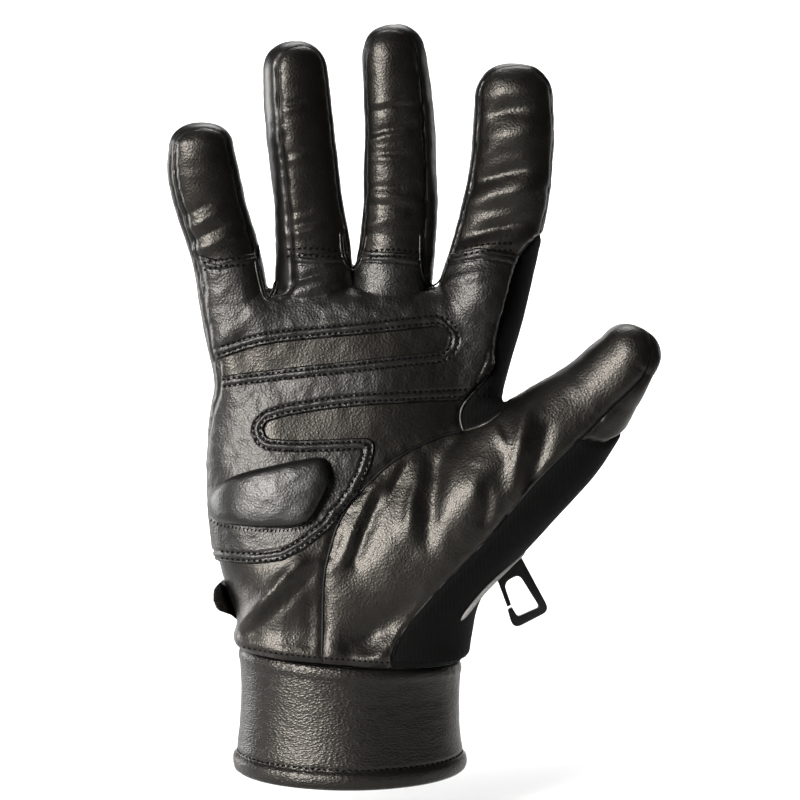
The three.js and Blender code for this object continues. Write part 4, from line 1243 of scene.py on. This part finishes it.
def strap_piece():
    """A strap with bound edges over the back of the wrist; its round end stands off."""
    middle_z = (STRAP["low"] + STRAP["high"]) / 2
    half = (STRAP["high"] - STRAP["low"]) / 2
    left, right, front, back = hand_sides(middle_z)
    degrees = np.linspace(STRAP["from"], STRAP["to"], 150)
    across, depth = squared(np.radians(degrees), SQUARENESS["hand"])
    lift = STRAP["stand_off"] + STRAP["end_lift"] * smoothstep(STRAP["lift_from"], STRAP["to"], degrees)
    x = (left + right) / 2 + ((right - left) / 2 + lift) * across
    y = np.where(depth < 0, -front + lift, back + lift) * depth
    line, _, out = round_wrist(np.stack([x, y, np.full(len(x), middle_z)], axis=1), STRAP["step"])
    walked = np.arange(len(line)) * STRAP["step"]
    round_end = np.sqrt(1 - (1 - np.clip((walked[-1] - walked) / half, 0, 1)) ** 2)
    rings, wear_and_shade = [], []
    for place, o, narrow, s in zip(line, out, round_end, walked):
        ring = []
        for up, rise in STRAP_SECTION:
            wave = 0.18 * math.sin(s / 3.1 + up) if rise > 0 else 0
            ring.append(place + o * (rise + wave) + np.array(UP) * (up * half * max(narrow, 0.05)))
        rings.append(ring)
        wear_and_shade += [BOUND_WEAR if abs(up) > 0.85 and rise > 0.5 else PLAIN_WEAR for up, rise in STRAP_SECTION]
    points = np.concatenate(rings)
    points[:, 0] = np.maximum(points[:, 0], level_of(dense(STRAP_END, 60), points[:, 2]))
    new_piece("strap_leather", points, ring_faces(rings), "cuff", "strap_leather", "wrist_strap", wear_and_shade)
    rows = []
    for share in (-STRAP["stitch_share"], STRAP["stitch_share"]):
        row = line + out * STRAP["stitch_rise"] + np.array(UP) * (share * half * round_end)[:, None]
        stitches = zip(*round_wrist(row[2:-12], STRAP["stitch_pitch"]))
        rows += [stitch for stitch in stitches if stitch[0][0] > STRAP_END[1][1]]
    return rows


def rounded(corners):
    """A closed outline whose corners are rounded: across, along, radius."""
    outline = []
    for k, (x, y, radius) in enumerate(corners):
        here = np.array([x, y])
        start = here + unit(np.array(corners[k - 1][:2]) - here) * radius
        end = here + unit(np.array(corners[(k + 1) % len(corners)][:2]) - here) * radius
        for t in np.linspace(0, 1, 7):
            outline.append((1 - t) ** 2 * start + 2 * t * (1 - t) * here + t * t * end)
    return outline


def hook_place(across, depth, along):
    lean_sin, lean_cos = math.sin(HOOK["lean"]), math.cos(HOOK["lean"])
    x = HOOK["x"] + across * lean_cos - along * lean_sin
    z = HOOK["z"] + across * lean_sin + along * lean_cos
    return (x, HOOK["y"] + depth, z)


def hook_piece():
    """A flat moulded hook with soft edges, whose gate is cut beside the eye."""
    curve = bpy.data.curves.new("hook", "CURVE")
    curve.dimensions = "2D"
    curve.fill_mode = "BOTH"
    curve.bevel_depth = HOOK["edge"]
    curve.bevel_resolution = 3
    curve.extrude = HOOK["thick"] / 2 - HOOK["edge"]
    curve.offset = -HOOK["edge"]
    for corners in (HOOK["outline"], HOOK["tape_slot"]):
        outline = rounded(corners)
        row = curve.splines.new("POLY")
        row.points.add(len(outline) - 1)
        row.use_cyclic_u = True
        for point, (across, along) in zip(row.points, outline):
            point.co = (across, along, 0, 1)
    shape = link(bpy.data.objects.new("hook_shape", curve))
    bpy.context.view_layer.update()
    mesh = bpy.data.meshes.new_from_object(shape)
    bpy.data.objects.remove(shape)
    points = [hook_place(p.co.x, HOOK["thick"] / 2 - p.co.z, p.co.y) for p in mesh.vertices]
    faces = [tuple(face.vertices) for face in mesh.polygons]
    piece = new_piece("hook_plastic", points, faces, "plastic", "hook_plastic", "snap_hook")
    piece.data.set_sharp_from_angle(angle=math.radians(HOOK["sharp"]))


def tape_piece():
    """A loop of webbing round the hook's top bar; its tail is sewn to the glove."""
    line = curved(TAPE["loop"], 0.5)
    rings = []
    for place, left in zip(line, lefts(line)):
        rings.append([hook_place(across, *(place + left * rise)) for across, rise in TAPE["section"]])
    new_piece("tape_webbing", np.concatenate(rings), ring_faces(rings), "webbing", "webbing", "hook_tape")


def palm_rows(tree):
    """The stitched rows that hold the reinforcement."""
    lines = []
    for inset in ROW_INSETS:
        corner = SLOT_CORNER - inset * CORNER_INSET
        bend = CORNER_ROUND - inset
        slot = slot_line(LOWER_SLOT, inset)
        low_side = (slot[:, 1] < LOW_SIDE) & (slot[:, 0] > corner[0])
        slot = slot[~low_side & (slot[:, 0] < ROW_END) & (np.hypot(*(slot - corner).T) > bend)]
        diagonal = shifted(curved(REINFORCEMENT[DIAGONAL_FROM:], 0.8), -inset)
        diagonal = diagonal[(diagonal[:, 1] < corner[1]) & (np.hypot(*(diagonal - corner).T) > bend)]
        lines.append(slot_line(UPPER_SLOT, inset))
        lines.append(np.concatenate([slot, [corner - ARC_MIDDLE * bend], diagonal]))
        for left, right, low, high in FINGER_ROWS:
            middle = ((left + right) / 2, (low + high) / 2 + 0.5 - inset)
            lines.append(curved([(left, low - inset), middle, (right, high - inset)]))
    return [stitch for line in lines for stitch in stitch_row(tree, line, PITCH)]


def pad_rows(tree):
    """The stitched row below the pad."""
    below, left_of, shift, pitch = PAD_ROW
    bottom = closed_curve(PAD, 1)
    bottom = bottom[(bottom[:, 1] < below) & (bottom[:, 0] < left_of)]
    return stitch_row(tree, shifted(bottom[np.argsort(bottom[:, 0])], shift), pitch)


def triangles_of(names):
    return triangles[np.isin(label, [REGION_NAMES.index(name) for name in names])]


# The hand's surface, cut into regions, with its folds and seams
points, triangles, field = glove_surface()
label = label_regions(points, triangles)
normals = unit(gradient(field, points))
keep = label != REGION_NAMES.index("below")
triangles, label = triangles[keep], label[keep]
seams, seam_sides = seam_edges(triangles, label)
seam_distance = distance_from(points, triangles, np.unique(seams), 7)
wrist_distance = distance_from(points, triangles, np.unique(boundary(triangles)), 9)
is_fabric = used(len(points), triangles_of(FABRIC_PIECES)).astype(float)
is_side = used(len(points), triangles_of(SIDE_PIECES)).astype(float)
is_side[np.unique(seams)] = 0
pucker = bells(seam_distance, SEAM_PUCKER) * uneven(points, SEAM_GATHER) * (1 - is_fabric)
height = crease_height(points, normals) * (1 - is_fabric) + wrinkle_height(points) * (1 - 0.6 * is_fabric)
height += (bells(seam_distance, SEAM_PROFILE) + pucker) * (1 - 0.85 * is_side) * away_from_tips(points)
height = averaged(triangles, height + bells(wrist_distance, WRIST_PROFILE), 1)
skin = points + normals * height[:, None]
# Wear and shade: lighter where the leather stands above its neighbours, as rubbed wear, and darker in its
# hollows and seams, as painted shade.
wear_and_shade = np.clip(PLAIN_WEAR + height - averaged(triangles, height, 12), 0, 1)
for name, node, slot, material in SKIN_PIECES:
    part, part_triangles, part_normals, part_wear = part_of(skin, triangles_of([name]), normals, wear_and_shade)
    body, faces = shell(part, part_normals, part_triangles, LEATHER)
    new_piece(name, body, faces, material, slot, node, part_wear)

# The second layer, the pad, the cuff, the strap and the hook
overlay = overlay_piece(skin, triangles_of(["palm_leather"]))
heel_pad(search_tree(overlay))
surface = search_tree((skin, triangles), overlay)
cuff_piece()
strap_rows = strap_piece()
hook_piece()
tape_piece()
piping = tube(spaced(dense(PIPING, 80), 0.6), PIPING_RADIUS, 10, 5)
new_piece("light_piping", *piping, "piping", "light_piping", "edge_piping")

# Stitches and seams
stitch_piece("palm_stitches", "overlay_leather", palm_rows(surface), 0.6, 0.42)
stitch_piece("pad_stitches", "pad_leather", pad_rows(surface), 0.55, 0.26, twist=1.2)
stitch_piece("wrist_stitches", "palm_leather", wrist_rows(surface), 0.5, 0.32)
stitch_piece("hem_stitches", "cuff_leather", hem_rows(), 0.7, 0.38)
stitch_piece("strap_stitches", "strap_leather", strap_rows, 0.7, 0.3, sink=0.05)
# The bead's lighter grey paints the highlight on the turned crotch edge.
tubes_piece("crotch_bead", crotch_lines(surface, 0), 0.32, "bead", "palm_leather")
tubes_piece("crotch_cord", crotch_lines(surface, 0.9), 0.5, "cord", "palm_leather")
for name, region, others, radius, lift, material, slot in BEADS:
    tubes_piece(name, bead_lines(between(region, others), lift), radius, material, slot)


def camera():
    """The photograph's view: level, from the palm side."""
    data = bpy.data.cameras.new("camera")
    data.sensor_width = VIEW["sensor"]
    data.lens = VIEW["sensor"] / 2 / (VIEW["half_width"] / VIEW["distance"])
    data.clip_start = 0.01
    eye = link(bpy.data.objects.new("camera", data))
    eye.location = (VIEW["x"] * MM, -VIEW["distance"] * MM, VIEW["z"] * MM)
    eye.rotation_euler = (math.pi / 2, 0, 0)
    bpy.context.scene.camera = eye


def light(name, place, target, size, energy, spread=180, colour=(1, 1, 1)):
    data = bpy.data.lights.new(name, "AREA")
    data.size = size
    data.energy = energy
    data.spread = math.radians(spread)
    data.color = colour
    lamp = link(bpy.data.objects.new(name, data))
    lamp.location = place
    lamp.rotation_euler = (Vector(target) - Vector(place)).to_track_quat("-Z", "Y").to_euler()


def studio(start=0.6, radius=0.6, half_width=3):
    """A pale sweep, in metres: a floor that curves up into a backdrop."""
    turns = np.radians(np.arange(0, 91, 10))
    curve = [(start + radius * math.sin(t), radius - radius * math.cos(t)) for t in turns]
    profile = [(-3, 0), *curve, (start + radius, 3)]
    points = [(x, y, z + FLOOR * MM) for y, z in profile for x in (-half_width, half_width)]
    faces = [(2 * k, 2 * k + 1, 2 * k + 3, 2 * k + 2) for k in range(len(profile) - 1)]
    mesh = bpy.data.meshes.new("sweep")
    mesh.from_pydata(points, [], faces)
    mesh.shade_smooth()
    look = Look("pale_sweep", (0.9, 0.9, 0.9), 0.8)
    look.set(look.shader, Base_Color=look.ramp(look.noise(look.place(), Scale=0.01), (0.3, 0.9), (0.7, 0.92)))
    mesh.materials.append(look.material)
    link(bpy.data.objects.new("sweep", mesh))
    world = bpy.data.worlds.new("studio")
    bpy.context.scene.world = world
    world.use_nodes = True
    background = world.node_tree.nodes["Background"]
    background.inputs["Color"].default_value = (1, 1, 1, 1)
    background.inputs["Strength"].default_value = 0.05


camera()
studio()
# Name, place and target in metres, size, energy
light("key", (-0.62, -0.72, 0.29), (-0.03, 0, 0.05), 0.55, 1.7, spread=30, colour=(1, 0.985, 0.96))
light("top", (-0.2, -0.2, 1.3), (0, 0, 0.1), 0.9, 0.6)
light("fill", (0.9, -1.2, 0.3), (0, 0, 0.12), 1.2, 0.15)
light("sweep", (0, 0.7, 1.2), (0, 1, 0), 0.7, 9, spread=80)
light("floor", (0.02, 0.42, 0.8), (0.02, 0.22, 0), 0.4, 0.8, spread=62)
light("rim_left", (-0.8, 0.35, 0.2), (0, 0, 0.12), 0.5, 0.9, spread=60)
light("rim_right", (0.8, 0.6, 0.25), (0, 0, 0.12), 0.4, 0.12, spread=60)
bpy.context.scene.view_settings.view_transform = "Standard"
